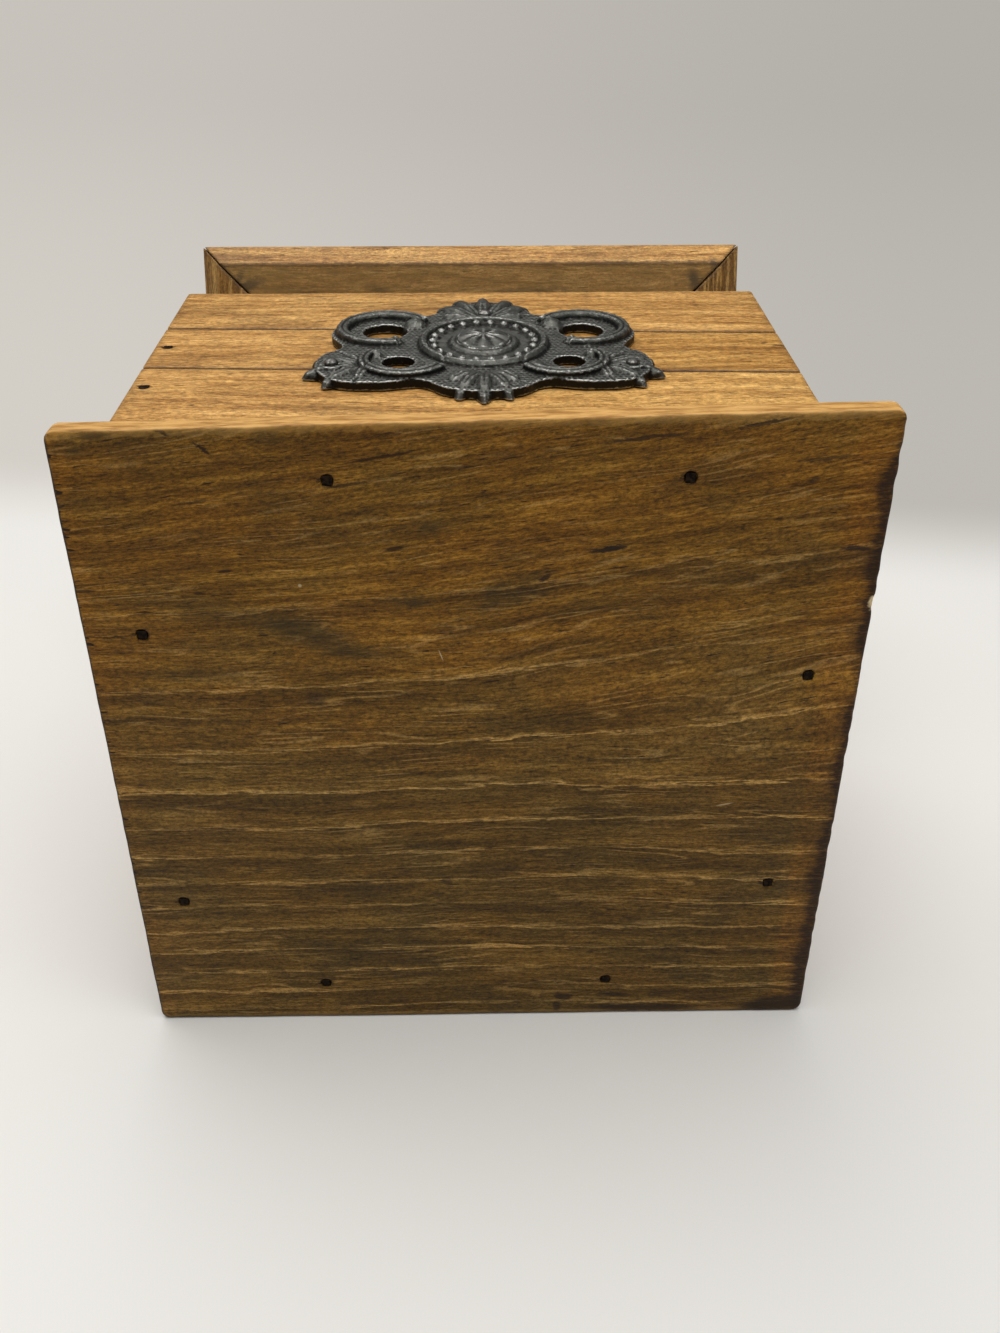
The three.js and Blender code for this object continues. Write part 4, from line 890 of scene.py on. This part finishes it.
# Each base nail gets a near-black spot round its head and a short dark streak to its left.
NAIL_DARK_SPOTS = []
for i, nail in enumerate(base_nails):
    at_x, at_z = nail.x / MM, nail.z / MM
    NAIL_DARK_SPOTS.append((at_x + 0.2 * (i % 3 - 1), at_z + 0.1, 1.5, 1.1, 35 * i, 0.8))
    streak_z, streak_slope = at_z + 0.1 * (i % 4 - 1), 8 * (i % 3 - 1)
    NAIL_DARK_SPOTS.append((at_x - 1.3, streak_z, 1.2, 0.35, streak_slope, 0.8))
hand_placed = (DARK_MARKS, DASHES, SMUDGES, SCRATCHES, CHIP_MARKS)
print("marks:", [len(rows) for rows in hand_placed], "nails:", len(base_nails))

# %% [markdown]
# Over the wood lie, in this order, what time did to the board: patches of redder stain, a belt
# that is worn lighter, a warm glow and a scorched band at the right-hand end, a dark line at the
# left-hand one, the marks, and an upper edge rubbed down to bare wood. Last comes painted shade
# along the board's foot, where it meets the paper.

# %% Base board: everything that lies over the wood
REDDER, GREENER, GLOWING = (1.05, 1.01, 0.93), (0.97, 1.00, 1.04), (1.30, 1.12, 0.90)
BELT_GAIN = 0.15
BAND_LICKS = 6.0
SCORCHED, BURNT, LINE_INK = (0.045, 0.019, 0.005), (0.022, 0.010, 0.004), (0.012, 0.007, 0.004)
SMUDGE_INK, MARK_INK, DASH_INK = (0.030, 0.024, 0.009), (0.022, 0.012, 0.006), (0.026, 0.010, 0.002)
NAIL_INK, SCRATCH_WOOD, CHIP_WOOD = (0.008, 0.005, 0.004), (0.50, 0.38, 0.22), (0.72, 0.56, 0.32)
BARE_PALE, BARE_BROWN, FOOT_PAINTED_SHADE = (0.66, 0.38, 0.125), (0.34, 0.165, 0.042), (0.035, 0.020, 0.008)
# The upper edge is out of square: it rises to the right by this slope.
TOP_SLANT = 1.5 / 76
TOP_FROM, TOP_TO = 148.9, 149.4


# Noise in strokes: each of the two coordinates has its own scale
def strokes(w, a, a_scale, b, b_scale, detail, roughness=0.5):
    place = w.combine(w.math("MULTIPLY", a, a_scale), w.math("MULTIPLY", b, b_scale), 0.0)
    return w.noise(place, 1.0, detail, roughness)


# The inner border of the scorched band, in millimetres from the board's middle
def band_border(w, z):
    wide = w.noise(w.combine(0.0, w.math("MULTIPLY", z, 0.09), 0.0), 1.0, 2.0, 0.6)
    wide = w.step(wide, 0.35, 0.65, 74.9, 73.4)
    inner = w.math("SUBTRACT", wide, w.step(z, 112.0, 122.0, 0.0, 0.9))
    inner = w.math("ADD", inner, w.step(z, 138.0, 145.0, 0.0, 2.6))
    inner = w.math("SUBTRACT", inner, w.step(z, 45.0, 60.0, 1.2, 0.0))
    narrow = w.math("MULTIPLY", w.step(z, 80.0, 88.0), w.step(z, 100.0, 108.0, 1.0, 0.0))
    return w.math("ADD", inner, w.math("MULTIPLY", narrow, 0.8))


# The upper edge, rubbed bare and pale along its whole thickness
def bare_top(w, x, z, through, face_gap, ragged, colour):
    rim = w.noise(w.combine(w.math("MULTIPLY", x, 0.06), 0.0, 0.0), 1.0, 3.0, 0.6)
    level = w.math("SUBTRACT", z, w.math("MULTIPLY", x, TOP_SLANT))
    top = w.math("ADD", w.math("ADD", level, w.swing(rim, 1.6)), w.swing(ragged, 0.5))
    patches = strokes(w, x, 0.10, through, 0.7, 3.5, 0.65)
    bare = w.mix(w.step(patches, 0.38, 0.66), BARE_PALE, BARE_BROWN)
    on_top = w.step(w.math("ADD", face_gap, w.math("SUBTRACT", rim, 0.5)), 0.15, 0.60, 0.15, 0.95)
    return w.mix(w.math("MULTIPLY", w.step(top, TOP_FROM, TOP_TO), on_top), colour, bare)


def base_marks(w, parts, gaps, ragged, colour):
    x, z, through = parts
    z = w.math("ADD", z, BASE_HALF_HEIGHT)
    place = torn_place(w, x, z, 1.6)
    torn_x = w.split(place)[0]
    # The stain was redder in some patches than in others.
    patch = w.drawn(place, (0.030, 0.062, 0.0), 3.0, 0.6)
    redder, greener = [w.vector("MULTIPLY", colour, tint) for tint in (REDDER, GREENER)]
    colour = w.mix(w.step(patch, 0.40, 0.60), greener, redder)
    # A worn, lighter belt at half height.
    belt = w.math("MULTIPLY", w.step(z, 58.0, 80.0), w.step(z, 105.0, 125.0, 1.0, 0.0))
    colour = w.scaled(colour, w.math("ADD", w.math("MULTIPLY", belt, BELT_GAIN), 1.0))
    # Warm glow inside both ends, then the scorched band on the right and a dark line on the left.
    lower = w.step(z, 45.0, 90.0, 0.85, 0.40)
    glow = w.math("MULTIPLY", w.step(torn_x, 66.5, 69.5), lower)
    glow = w.math("ADD", glow, w.step(torn_x, -75.0, -70.5, 0.40, 0.0))
    colour = w.mix(glow, colour, w.vector("MULTIPLY", colour, GLOWING))
    licks = w.swing(strokes(w, x, 0.10, z, 1.3, 4.0, 0.75), BAND_LICKS)
    band = w.math("SUBTRACT", w.math("ADD", x, licks), band_border(w, z))
    colour = w.mix(w.step(band, -3.0, 0.2, 0.0, 0.40), colour, SCORCHED)
    hatch = w.step(strokes(w, x, 0.35, z, 1.6, 3.0, 0.7), 0.36, 0.54, 0.55, 0.92)
    colour = w.mix(w.math("MULTIPLY", w.step(band, -0.8, 0.8), hatch), colour, BURNT)
    ticks = strokes(w, x, 0.25, z, 1.2, 1.0)
    line_end = w.math("ADD", w.step(ticks, 0.60, 0.70, 0.0, 1.3), -75.4)
    line = w.step(w.math("SUBTRACT", x, line_end), -0.3, 0.3, 0.93, 0.0)
    line = w.math("MULTIPLY", line, w.step(gaps[2], 0.5, 1.8, 1.0, 0.35))
    colour = w.mix(line, colour, LINE_INK)
    colour = marked(w, place, SMUDGES, colour, SMUDGE_INK, heart=0.25, rim=1.20)
    colour = marked(w, place, DARK_MARKS, colour, MARK_INK)
    colour = marked(w, torn_place(w, x, z, 0.6), DASHES, colour, DASH_INK)
    colour = marked(w, torn_place(w, x, z, 3.0), NAIL_DARK_SPOTS, colour, NAIL_INK)
    colour = marked(w, w.combine(x, z, 0.0), SCRATCHES, colour, SCRATCH_WOOD)
    colour = marked(w, place, CHIP_MARKS, colour, CHIP_WOOD)
    colour = bare_top(w, x, z, through, gaps[2], ragged, colour)
    # Painted shade: the foot of the board darkens where it meets the paper.
    return w.mix(w.step(z, 0.2, 1.3, 0.6, 0.0), colour, FOOT_PAINTED_SHADE)


# %% Base board: its wood
wood(
    base,
    "base_board_wood",
    X,
    Z,
    1.0,
    (142.0 - BASE_HALF_HEIGHT, -385.0),
    1.88,
    BASE_LOW,
    measured=nodes["base_board"],
    first_ring=217.88,
    wander=7.0,
    uneven=0.25,
    warp=base_warp,
    zone=base_zone,
    marks=base_marks,
    wear=0.25,
    sheen=0.14,
    spread=0.150,
    grime=0.08,
    line=0.8,
    askew=True,
)

# %% [markdown]
# ## Dressing the walls
#
# The front wall's three boards are lit from above and look golden, with dark seams between them.
# Every board has its own seed and its own place in the tree. The lowest one passes into a lighter
# tone towards its right-hand end, a painted highlight of the overhead lamp's sheen, and the middle
# one into a darker tone.

# %% Wall boards
GOLD = dict(
    soft=(0.430, 0.216, 0.058),
    hard=(0.67, 0.390, 0.130),
    deep=(0.185, 0.075, 0.012),
    pale=(0.74, 0.45, 0.140),
    dusk=(0.15, 0.075, 0.020),
    pore=(0.040, 0.016, 0.004),
    ring=0.45,
    hair=0.30,
    early=0.20,
    grain=0.42,
    cloud=0.50,
    fleck=0.66,
    duct=0.85,
)
# A lighter tone for the lowest boards' right-hand end: a painted highlight of the lamp's sheen.
WALL_PAINTED_SHEEN = dict(
    soft=(0.525, 0.284, 0.078),
    hard=(0.775, 0.480, 0.165),
    deep=(0.235, 0.108, 0.026),
    ring=0.8,
    cloud=0.35,
)
WALL_DARK = dict(
    soft=(0.330, 0.155, 0.030),
    hard=(0.540, 0.290, 0.072),
    deep=(0.140, 0.057, 0.010),
    ring=0.8,
    cloud=0.65,
)
print("wall tones:", [round(tone["soft"][0], 3) for tone in (GOLD, WALL_PAINTED_SHEEN, WALL_DARK)])

# %% Walls: what lies over the wood
SLAT_SPOTS = {
    "front_slat_middle": [(67.2, 1.2, 2.4, 0.5, -8, 0.85), (64.0, 2.6, 1.2, 0.5, 25, 0.6)],
}
ZONE_FROM, ZONE_TO, WALL_WIPED = -30.0, 55.0, 160.0
RUST = (0.020, 0.010, 0.005)


# One tone takes over towards the right-hand end
def wall_zone(other, share):
    def zone(w, parts, seen):
        along = w.math("ADD", parts[0], w.swing(seen["Cloud"], WALL_WIPED))
        return other, w.step(along, ZONE_FROM, ZONE_TO, 0.0, share)

    return zone


# Rust and dirt have bled along the grain from each nail, and a few spots are the slat's own
def slat_marks(node, outer):
    centre = board_axes(node, X, Y)[0]
    rows = []
    for name, nail in nodes.items():
        if name.startswith(f"{outer}_nail_"):
            low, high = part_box(name)
            at = ((Vector(low) + Vector(high)) / 2 - centre) / MM
            rows.append((at.x, at.y, 1.9, 0.75, 12 * (len(rows) % 3 - 1), 0.95))
    rows += SLAT_SPOTS.get(node.name, [])

    def marks(w, parts, gaps, ragged, colour):
        return marked(w, torn_place(w, parts[0], parts[1], 1.3), rows, colour, RUST)

    return marks


print("slats with spots of their own:", list(SLAT_SPOTS))

# %% Walls: their wood
SLAT_VOXEL, SIDE_VOXEL, WALL_WAVER = 0.0005, 0.0006, 0.0002
WALL_LOOK = dict(
    seams=True,
    askew=True,
    coarse=(0.8, 0.7, 0.7),
    sheen=0.22,
    line=0.7,
    spread=0.140,
    wear=0.0,
)
SLATS = {
    # The lowest boards' lighter tone on the right is a painted highlight.
    "lower": ((60.0, -14.0), wall_zone(WALL_PAINTED_SHEEN, 1.0)),
    "middle": ((-48.0, -22.0), wall_zone(WALL_DARK, 0.8)),
    "upper": ((75.0, -18.0), None),
}
for i, (part, (pith, zone)) in enumerate(SLATS.items()):
    for wall, seed in (("front", 3.0), ("back", 11.0)):
        name = f"{wall}_slat_{part}"
        look = dict(WALL_LOOK, zone=zone, marks=slat_marks(nodes[name], wall))
        wood(nodes[name], name + "_wood", X, Y, seed + 2.3 * i, pith, 2.2, GOLD, **look)
        hand_worked(nodes[name], SLAT_VOXEL, WALL_WAVER)
for side, seed in (("left", 21.0), ("right", 27.0)):
    name = f"{side}_side_board"
    look = dict(wander=16.0, wear=0.2)
    wood(nodes[name], name + "_wood", Z, Y, seed, (-70.0, -25.0), 3.6, GOLD, **look)
    hand_worked(nodes[name], SIDE_VOXEL, WALL_WAVER)

# %% [markdown]
# ## Dressing the lid
#
# The lid leans back, so its boards' axes are turned about the hinge by the same angle. That angle
# comes from the packed joint: the lid is closed at its lower limit. Below its bevel the front rail
# is darkened with painted shade, and dirt has gathered in the mitre joints.

# %% Lid: its directions, and where the front rail's marks are
hinge = frame["joints"][0]
open_angle = -math.radians(hinge["range_deg"][0])
lid_up = Vector((0, math.cos(open_angle), -math.sin(open_angle)))
lid_back = Vector((0, -math.sin(open_angle), -math.cos(open_angle)))
MITRE_STAINS = [
    (-61.5, 1.5, 4.2, 1.9, -20, 0.75),
    (-64.5, 0.0, 1.2, 3.0, 25, 0.6),
    (62.0, 0.8, 2.0, 3.8, -14, 0.85),
    (67.5, -3.6, 1.5, 1.8, 0, 0.7),
    (-26.0, 3.0, 3.4, 0.9, 5, 0.45),
    (49.0, 4.5, 2.6, 0.8, 0, 0.6),
    (14.0, 4.0, 16.0, 1.5, -3, 0.40),
    (-44.0, 4.5, 9.0, 1.2, 6, 0.40),
]
# Across the front rail, in millimetres from its middle line: where the bevel ends, and the sum of
# the distances along and across at which the mitre joint lies.
BEVEL_ARRIS = -4.0
MITRE_SUM = 66.0
RAIL_HALF_WIDTH = 9.0
# A mitre runs at 45 degrees, so the distance to it is the difference of two others times this.
SLANTWISE = 0.7071
MITRE_TEAR = 0.8
# Painted shade: the flat below the bevel, and a line along the arris above it.
MITRE_DIRT, BELOW_BEVEL_PAINTED_SHADE = (0.055, 0.028, 0.010), (0.185, 0.105, 0.027)
ARRIS_PAINTED_SHADE, STAIN_INK = (0.055, 0.026, 0.008), (0.060, 0.040, 0.018)
print("lid is open by", round(math.degrees(open_angle), 2), "degrees")


# %% Lid: what lies over the wood of the frame
def mitre_dirt(w, distance, ragged, colour):
    near = w.math("ADD", w.math("MULTIPLY", distance, SLANTWISE), w.swing(ragged, MITRE_TEAR))
    return w.mix(w.step(near, 0.10, 1.40, 0.42, 0.0), colour, MITRE_DIRT)


def rail_marks(w, parts, gaps, ragged, colour):
    x, across, through = parts
    place = torn_place(w, x, across, 1.8)
    torn_across = w.split(place)[1]
    # Below the bevel the wood is darkened with painted shade, and a line of painted shade lies along the arris
    # between the two.
    mottle = w.step(w.drawn(place, (0.10, 0.35, 0.0), 3.0, 0.7), 0.38, 0.64, 0.80, 0.50)
    below = w.step(torn_across, BEVEL_ARRIS - 0.2, BEVEL_ARRIS + 0.5)
    colour = w.mix(w.math("MULTIPLY", below, mottle), colour, BELOW_BEVEL_PAINTED_SHADE)
    line = w.math("ABSOLUTE", w.math("SUBTRACT", torn_across, BEVEL_ARRIS + 0.3))
    outside = w.step(through, -4.15, -3.75, 1.0, 0.0)
    line = w.math("MULTIPLY", w.step(line, 0.20, 0.9, 0.55, 0.0), outside)
    colour = w.mix(line, colour, ARRIS_PAINTED_SHADE)
    colour = marked(w, place, MITRE_STAINS, colour, STAIN_INK, heart=0.20, rim=1.25)
    reach = w.math("ADD", w.math("ABSOLUTE", x), across)
    return mitre_dirt(w, w.math("SUBTRACT", MITRE_SUM, reach), ragged, colour)


# The side rails meet the front rail at their own front ends.
def side_rail_marks(outwards, length):
    def marks(w, parts, gaps, ragged, colour):
        from_front = w.math("ADD", parts[0], length / 2)
        from_outer = w.math("SUBTRACT", RAIL_HALF_WIDTH, w.math("MULTIPLY", parts[1], outwards))
        return mitre_dirt(w, w.math("SUBTRACT", from_front, from_outer), ragged, colour)

    return marks


print("front rail stains:", len(MITRE_STAINS))

# %% Lid: the frame's wood
RAIL_VOXEL, RAIL_WAVER = 0.00042, 0.00006
RAIL_LOOK = dict(wear=0.30, sheen=0.25)
for name, seed, marks in (("lid_front_rail", 31.0, rail_marks), ("lid_back_rail", 33.5, None)):
    look = dict(RAIL_LOOK, marks=marks)
    wood(nodes[name], name + "_wood", X, lid_back, seed, (60.0, -16.0), 3.0, GOLD, **look)
    hand_worked(nodes[name], RAIL_VOXEL, RAIL_WAVER)
# The side rails' tones are GOLD made darker as painted shade, for faces turned away from the light.
SIDE_RAIL_PAINTED_SHADE = dict(
    GOLD,
    soft=(0.190, 0.088, 0.017),
    hard=(0.310, 0.160, 0.040),
    deep=(0.080, 0.034, 0.006),
)
for name, seed, outwards in (("lid_left_rail", 36.0, -1), ("lid_right_rail", 38.5, 1)):
    rail_half = board_axes(nodes[name], lid_back, X)[1]
    look = dict(RAIL_LOOK, marks=side_rail_marks(outwards, 2 * rail_half.x / MM))
    wood(nodes[name], name + "_wood", lid_back, X, seed, (50.0, -20.0), 3.2, SIDE_RAIL_PAINTED_SHADE, **look)
    hand_worked(nodes[name], RAIL_VOXEL, RAIL_WAVER)

# %% [markdown]
# The dome's staves stand round the two half-round end panels, each turned a little further than
# the one before it. Each is nailed to both panels, so the nails' places are worked out along with
# them.

# %% Lid: the end panels' and the staves' wood
DOME_VOXEL, DOME_WAVER = 0.0006, 0.00018
for side, seed in (("left", 41.0), ("right", 44.0)):
    panel = nodes[f"lid_{side}_end_panel"]
    wood(panel, f"lid_{side}_panel_wood", lid_back, lid_up, seed, (-60.0, -25.0), 3.5, GOLD)
    hand_worked(panel, DOME_VOXEL, DOME_WAVER)
stave_count = sum(1 for n in nodes if n.startswith("lid_stave_"))
stave_nail_places = []
for i in range(1, stave_count + 1):
    stave = nodes[f"lid_stave_{i}"]
    a = math.pi * (i - 0.5) / stave_count
    outwards = -math.cos(a) * lid_back + math.sin(a) * lid_up
    tangent = Vector(X).cross(outwards)
    rng = np.random.default_rng(100 + i)
    pith = (float(rng.uniform(-60, 60)), float(rng.uniform(-40, -12)))
    wood(stave, f"lid_stave_{i}_wood", X, tangent, 50.0 + 1.9 * i, pith, 3.2, GOLD, wear=0.3)
    hand_worked(stave, DOME_VOXEL, DOME_WAVER)
    centre, half, _ = board_axes(stave, X, tangent)
    for side in (-1, 1):
        away = side * (half.x - rng.uniform(0.0022, 0.0029)) * Vector(X)
        off = rng.uniform(-0.0012, 0.0012) * tangent
        stave_nail_places.append((centre + away + off + half.z * outwards, outwards))
print("staves:", stave_count)

# %% [markdown]
# ## Metal
#
# Nails are near black. The hinges are brass that has gone brown. The plaque is a dark
# casting: its hollows and its side walls are nearly black, its faces are grey, and its raised
# rims have been rubbed bright.


# %% Plain metals with tarnish
def metal(name, low, high, rough_low, rough_high, grain, metallic=1.0, sheen=0.5):
    material = bpy.data.materials.new(name)
    material.use_nodes = True
    tree = material.node_tree
    shader = tree.nodes["Principled BSDF"]
    w = Weaver(tree)
    place = w.scaled(tree.nodes.new("ShaderNodeTexCoord").outputs["Object"], 1 / MM)
    patch = w.noise(place, grain, 4.0, 0.6)
    fine = w.noise(place, grain * 7, 2.0, 0.5)
    w.put(shader.inputs["Base Color"], w.mix(w.step(patch, 0.35, 0.65), low, high))
    w.put(shader.inputs["Roughness"], w.step(patch, 0.3, 0.7, rough_high, rough_low))
    w.put(shader.inputs["Normal"], w.bump(w.math("ADD", patch, fine), 0.00005, 0.5))
    shader.inputs["Metallic"].default_value = metallic
    shader.inputs["Specular IOR Level"].default_value = sheen
    return material


iron = metal("nail_iron", (0.003, 0.002, 0.0015), (0.022, 0.012, 0.006), 0.75, 0.95, 1.1, 0.0, 0.08)
brass = metal("hinge_brass", (0.16, 0.10, 0.04), (0.48, 0.33, 0.13), 0.30, 0.55, 0.35)
tack_metal = metal("tack_metal", (0.07, 0.068, 0.063), (0.26, 0.25, 0.235), 0.30, 0.5, 0.9)
coated = 0
for name, node in nodes.items():
    coat = None
    if "nail" in name:
        coat = iron
    elif "hinge" in name:
        coat = brass
    elif name.startswith("plaque_pin"):
        coat = tack_metal
    if coat is not None:
        node.data.materials.clear()
        node.data.materials.append(coat)
        eased(node, 0.0001)
        coated += 1
print("metal pieces:", coated)


# %% Each stave is nailed to both end panels: small eight-sided heads, level with the boards
NAIL_RADIUS, NAIL_DEPTH = 0.0008, 0.0010


def nail_heads(name, places, radius, depth):
    made = bmesh.new()
    for place, outwards in places:
        turn = outwards.to_track_quat("Z", "Y").to_matrix().to_4x4()
        sunk = Matrix.Translation(place - outwards * depth / 2) @ turn
        sizes = dict(radius1=radius, radius2=radius, depth=depth)
        bmesh.ops.create_cone(made, cap_ends=True, segments=8, matrix=sunk, **sizes)
    mesh = bpy.data.meshes.new(name)
    made.to_mesh(mesh)
    made.free()
    obj = bpy.data.objects.new(name, mesh)
    bpy.context.scene.collection.objects.link(obj)
    obj.data.materials.append(iron)
    return obj


stave_nails = nail_heads("lid_stave_nails", stave_nail_places, NAIL_RADIUS, NAIL_DEPTH)
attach(stave_nails, "lid")
print("stave nail heads:", len(stave_nail_places))

# %% [markdown]
# ## The plaque
#
# The packed plaque has the right outline and heights, and these cells give it the look of a
# casting. Its points are moved as arrays. Places on it are given as its design is drawn: in
# shares of its half width and half height, and both sides alike. The fans get a vein along each
# lobe and the scrolls an engraved line.

# %% Plaque: its points, and the veins and engraved lines
PLAQUE_VOXEL = 0.00022
VEIN_DEPTH, VEIN_WIDTH, FAN_REACH = 0.00032, 0.010, 0.30
SCROLL_DEPTH, SCROLL_WIDTH = 0.00028, 0.011
# Each fan's foot, direction, lobes and spread; each scroll's centre and radius.
FANS = [
    (0.0, 0.40, math.pi / 2, 7, 2.3),
    (0.0, -0.56, -math.pi / 2, 5, 1.7),
    (0.62, -0.44, -0.25, 5, 2.1),
]
SCROLLS = [(0.57, 0.20, 0.25), (0.44, -0.42, 0.22)]

plaque_low, plaque_high = (Vector(v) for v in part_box("plaque"))
points, normals, faces = fine_arrays(nodes["plaque"], PLAQUE_VOXEL, 2)
half_width = (plaque_high.x - plaque_low.x) / 2
half_height = (plaque_high.y - plaque_low.y) / 2
middle = (plaque_low + plaque_high) / 2
u = (points[:, 0] - middle.x) / half_width
v = (points[:, 1] - middle.y) / half_height
relief = plaque_high.z - plaque_low.z
level = (points[:, 2] - plaque_low.z) / relief
facing = np.clip(normals[:, 2], 0, 1)
sink = np.zeros(len(points))
across = np.abs(u)
aspect = half_height / half_width
for foot_u, foot_v, direction, count, spread in FANS:
    du, dv = across - foot_u, (v - foot_v) * aspect
    reach, turn = np.hypot(du, dv), np.arctan2(dv, du)
    near = np.exp(-((reach / FAN_REACH) ** 4)) * np.clip((reach - 0.05) / 0.05, 0, 1)
    for i in range(count):
        off = direction + (i / (count - 1) - 0.5) * spread
        apart = (turn - off + math.pi) % (2 * math.pi) - math.pi
        vein = np.exp(-((apart * reach / VEIN_WIDTH) ** 2)) * (np.abs(apart) < 0.5)
        sink += VEIN_DEPTH * vein * near
for centre_u, centre_v, radius in SCROLLS:
    reach = np.hypot(across - centre_u, (v - centre_v) * aspect)
    sink += SCROLL_DEPTH * np.exp(-(((reach - radius) / SCROLL_WIDTH) ** 2)) * (level > 0.6)
print("plaque points:", len(points), "relief mm:", round(relief / MM, 2))

# %% [markdown]
# The cabochon in the middle gets a rosette of eight petals and a groove round it, and the ground
# between the raised parts a punched texture. Then everything is pitted a little, as sand casting
# leaves it.

# %% Plaque: rosette, punched ground and pitting
CABOCHON_HALF, CABOCHON_V, PETALS = (0.37, 0.48), -0.06, 8
ROSETTE_DEPTH, GROOVE_DEPTH = 0.00045, 0.00035
GROUND_LEVEL, PUNCH_CELL, PUNCH_DEPTH = 0.477, 0.0011, 0.00018
PIT_DEPTH, FINE_PIT_DEPTH, CAST_SKIN = 0.00003, 0.00002, 0.00004

oval = np.hypot(u / CABOCHON_HALF[0], (v - CABOCHON_V) / CABOCHON_HALF[1])
petal = np.arctan2((v - CABOCHON_V) * aspect, u)
rosette = 0.5 + 0.5 * np.cos(PETALS * petal)
sink += ROSETTE_DEPTH * (1 - rosette) * np.clip(oval / 0.12, 0, 1) * (oval < 0.42)
sink += GROOVE_DEPTH * np.exp(-(((oval - 0.44) / 0.03) ** 2))
row = np.round(points[:, 1] / PUNCH_CELL)
stagger = 0.5 * (row % 2)
column = np.round(points[:, 0] / PUNCH_CELL + stagger) - stagger
from_dot = (points[:, 0] - column * PUNCH_CELL, points[:, 1] - row * PUNCH_CELL)
dot = np.hypot(*from_dot) / PUNCH_CELL
ground = (np.abs(level - GROUND_LEVEL) < 0.05) & (oval > 1.02)
sink += PUNCH_DEPTH * ground * np.exp(-((dot / 0.28) ** 2))
pitting = PIT_DEPTH * waves(points, 0.0016, 21) + FINE_PIT_DEPTH * waves(points, 0.0007, 22)
sink = sink * facing + np.clip(CAST_SKIN + pitting, 0, None)
points = points - normals * sink[:, None]
plaque = stand_in("plaque_cast", "plaque", points, faces, 0.55)
print("deepest cut mm:", round(sink.max() / MM, 2))

# %% [markdown]
# Rubbing brightens what stands proud. How much each point stands above its neighbours is worked
# out once and kept on the mesh, with how steep the surface is, and the material reads both.

# %% Plaque: how proud each point stands, in voxels, and how much of a side wall it is
corners = np.array([f for f in faces if len(f) == 4])


def summed_over_neighbours(values):
    total = np.zeros_like(values)
    for i in range(4):
        a, b = corners[:, i], corners[:, (i + 1) % 4]
        np.add.at(total, a, values[b])
        np.add.at(total, b, values[a])
    return total


neighbours = np.maximum(summed_over_neighbours(np.ones(len(points))), 1)
proud = points - summed_over_neighbours(points) / neighbours[:, None]
proud = (proud * normals).sum(1) / PLAQUE_VOXEL
for _ in range(2):
    proud = 0.5 * proud + 0.5 * summed_over_neighbours(proud) / neighbours
print("proud 5..95%:", np.percentile(proud, [5, 50, 95]).round(3))
for key, values in (("proud", proud), ("wall", 1 - facing)):
    attribute = plaque.data.attributes.new(key, "FLOAT", "POINT")
    attribute.data.foreach_set("value", values)

# %% Plaque: surface
FACE_DARK, FACE_LIGHT = (0.074, 0.075, 0.067), (0.128, 0.128, 0.116)
HOLLOW, BLACKING = (0.012, 0.011, 0.010), (0.010, 0.010, 0.009)
RUBBED_BRIGHT, PAINTED_GLINT = (0.58, 0.58, 0.55), (0.50, 0.50, 0.48)
CAST_RELIEF, CAST_STRENGTH = 0.00012, 0.9


def cast_metal():
    material = bpy.data.materials.new("plaque_metal")
    material.use_nodes = True
    tree = material.node_tree
    shader = tree.nodes["Principled BSDF"]
    w = Weaver(tree)
    place = w.scaled(tree.nodes.new("ShaderNodeTexCoord").outputs["Object"], 1 / MM)
    high, wall = (tree.nodes.new("ShaderNodeAttribute") for _ in range(2))
    high.attribute_name, wall.attribute_name = "proud", "wall"
    high, wall = high.outputs["Fac"], wall.outputs["Fac"]
    patch = w.noise(place, 0.35, 4.0, 0.6)
    speck = w.noise(place, 2.6, 3.0, 0.65)
    fine = w.noise(place, 7.0, 2.0, 0.6)
    colour = w.mix(w.step(patch, 0.35, 0.65), FACE_DARK, FACE_LIGHT)
    colour = w.mix(w.step(high, -0.05, -0.005, 0.85, 0.0), colour, HOLLOW)
    # The side walls were never rubbed: the blacking is still on them.
    colour = w.mix(w.step(wall, 0.55, 0.85, 0.0, 0.93), colour, BLACKING)
    rubbed = w.step(w.math("ADD", high, w.swing(speck, 0.06)), 0.035, 0.110)
    colour = w.mix(w.math("MULTIPLY", rubbed, 0.60), colour, RUBBED_BRIGHT)
    # Painted glints: random specks of bright metal colour.
    colour = w.mix(w.step(speck, 0.68, 0.76, 0.0, 0.45), colour, PAINTED_GLINT)
    w.put(shader.inputs["Base Color"], colour)
    dull = w.step(patch, 0.3, 0.7, 0.52, 0.40)
    w.put(shader.inputs["Roughness"], w.math("SUBTRACT", dull, w.math("MULTIPLY", rubbed, 0.14)))
    pits = w.math("ADD", speck, w.math("MULTIPLY", fine, 0.5))
    w.put(shader.inputs["Normal"], w.bump(pits, CAST_RELIEF, CAST_STRENGTH))
    shader.inputs["Metallic"].default_value = 0.85
    return material


plaque.data.materials.append(cast_metal())
print("plaque stands in for the packed one:", plaque.name)

# %% [markdown]
# The visual model has to stay inside the packed model's box.
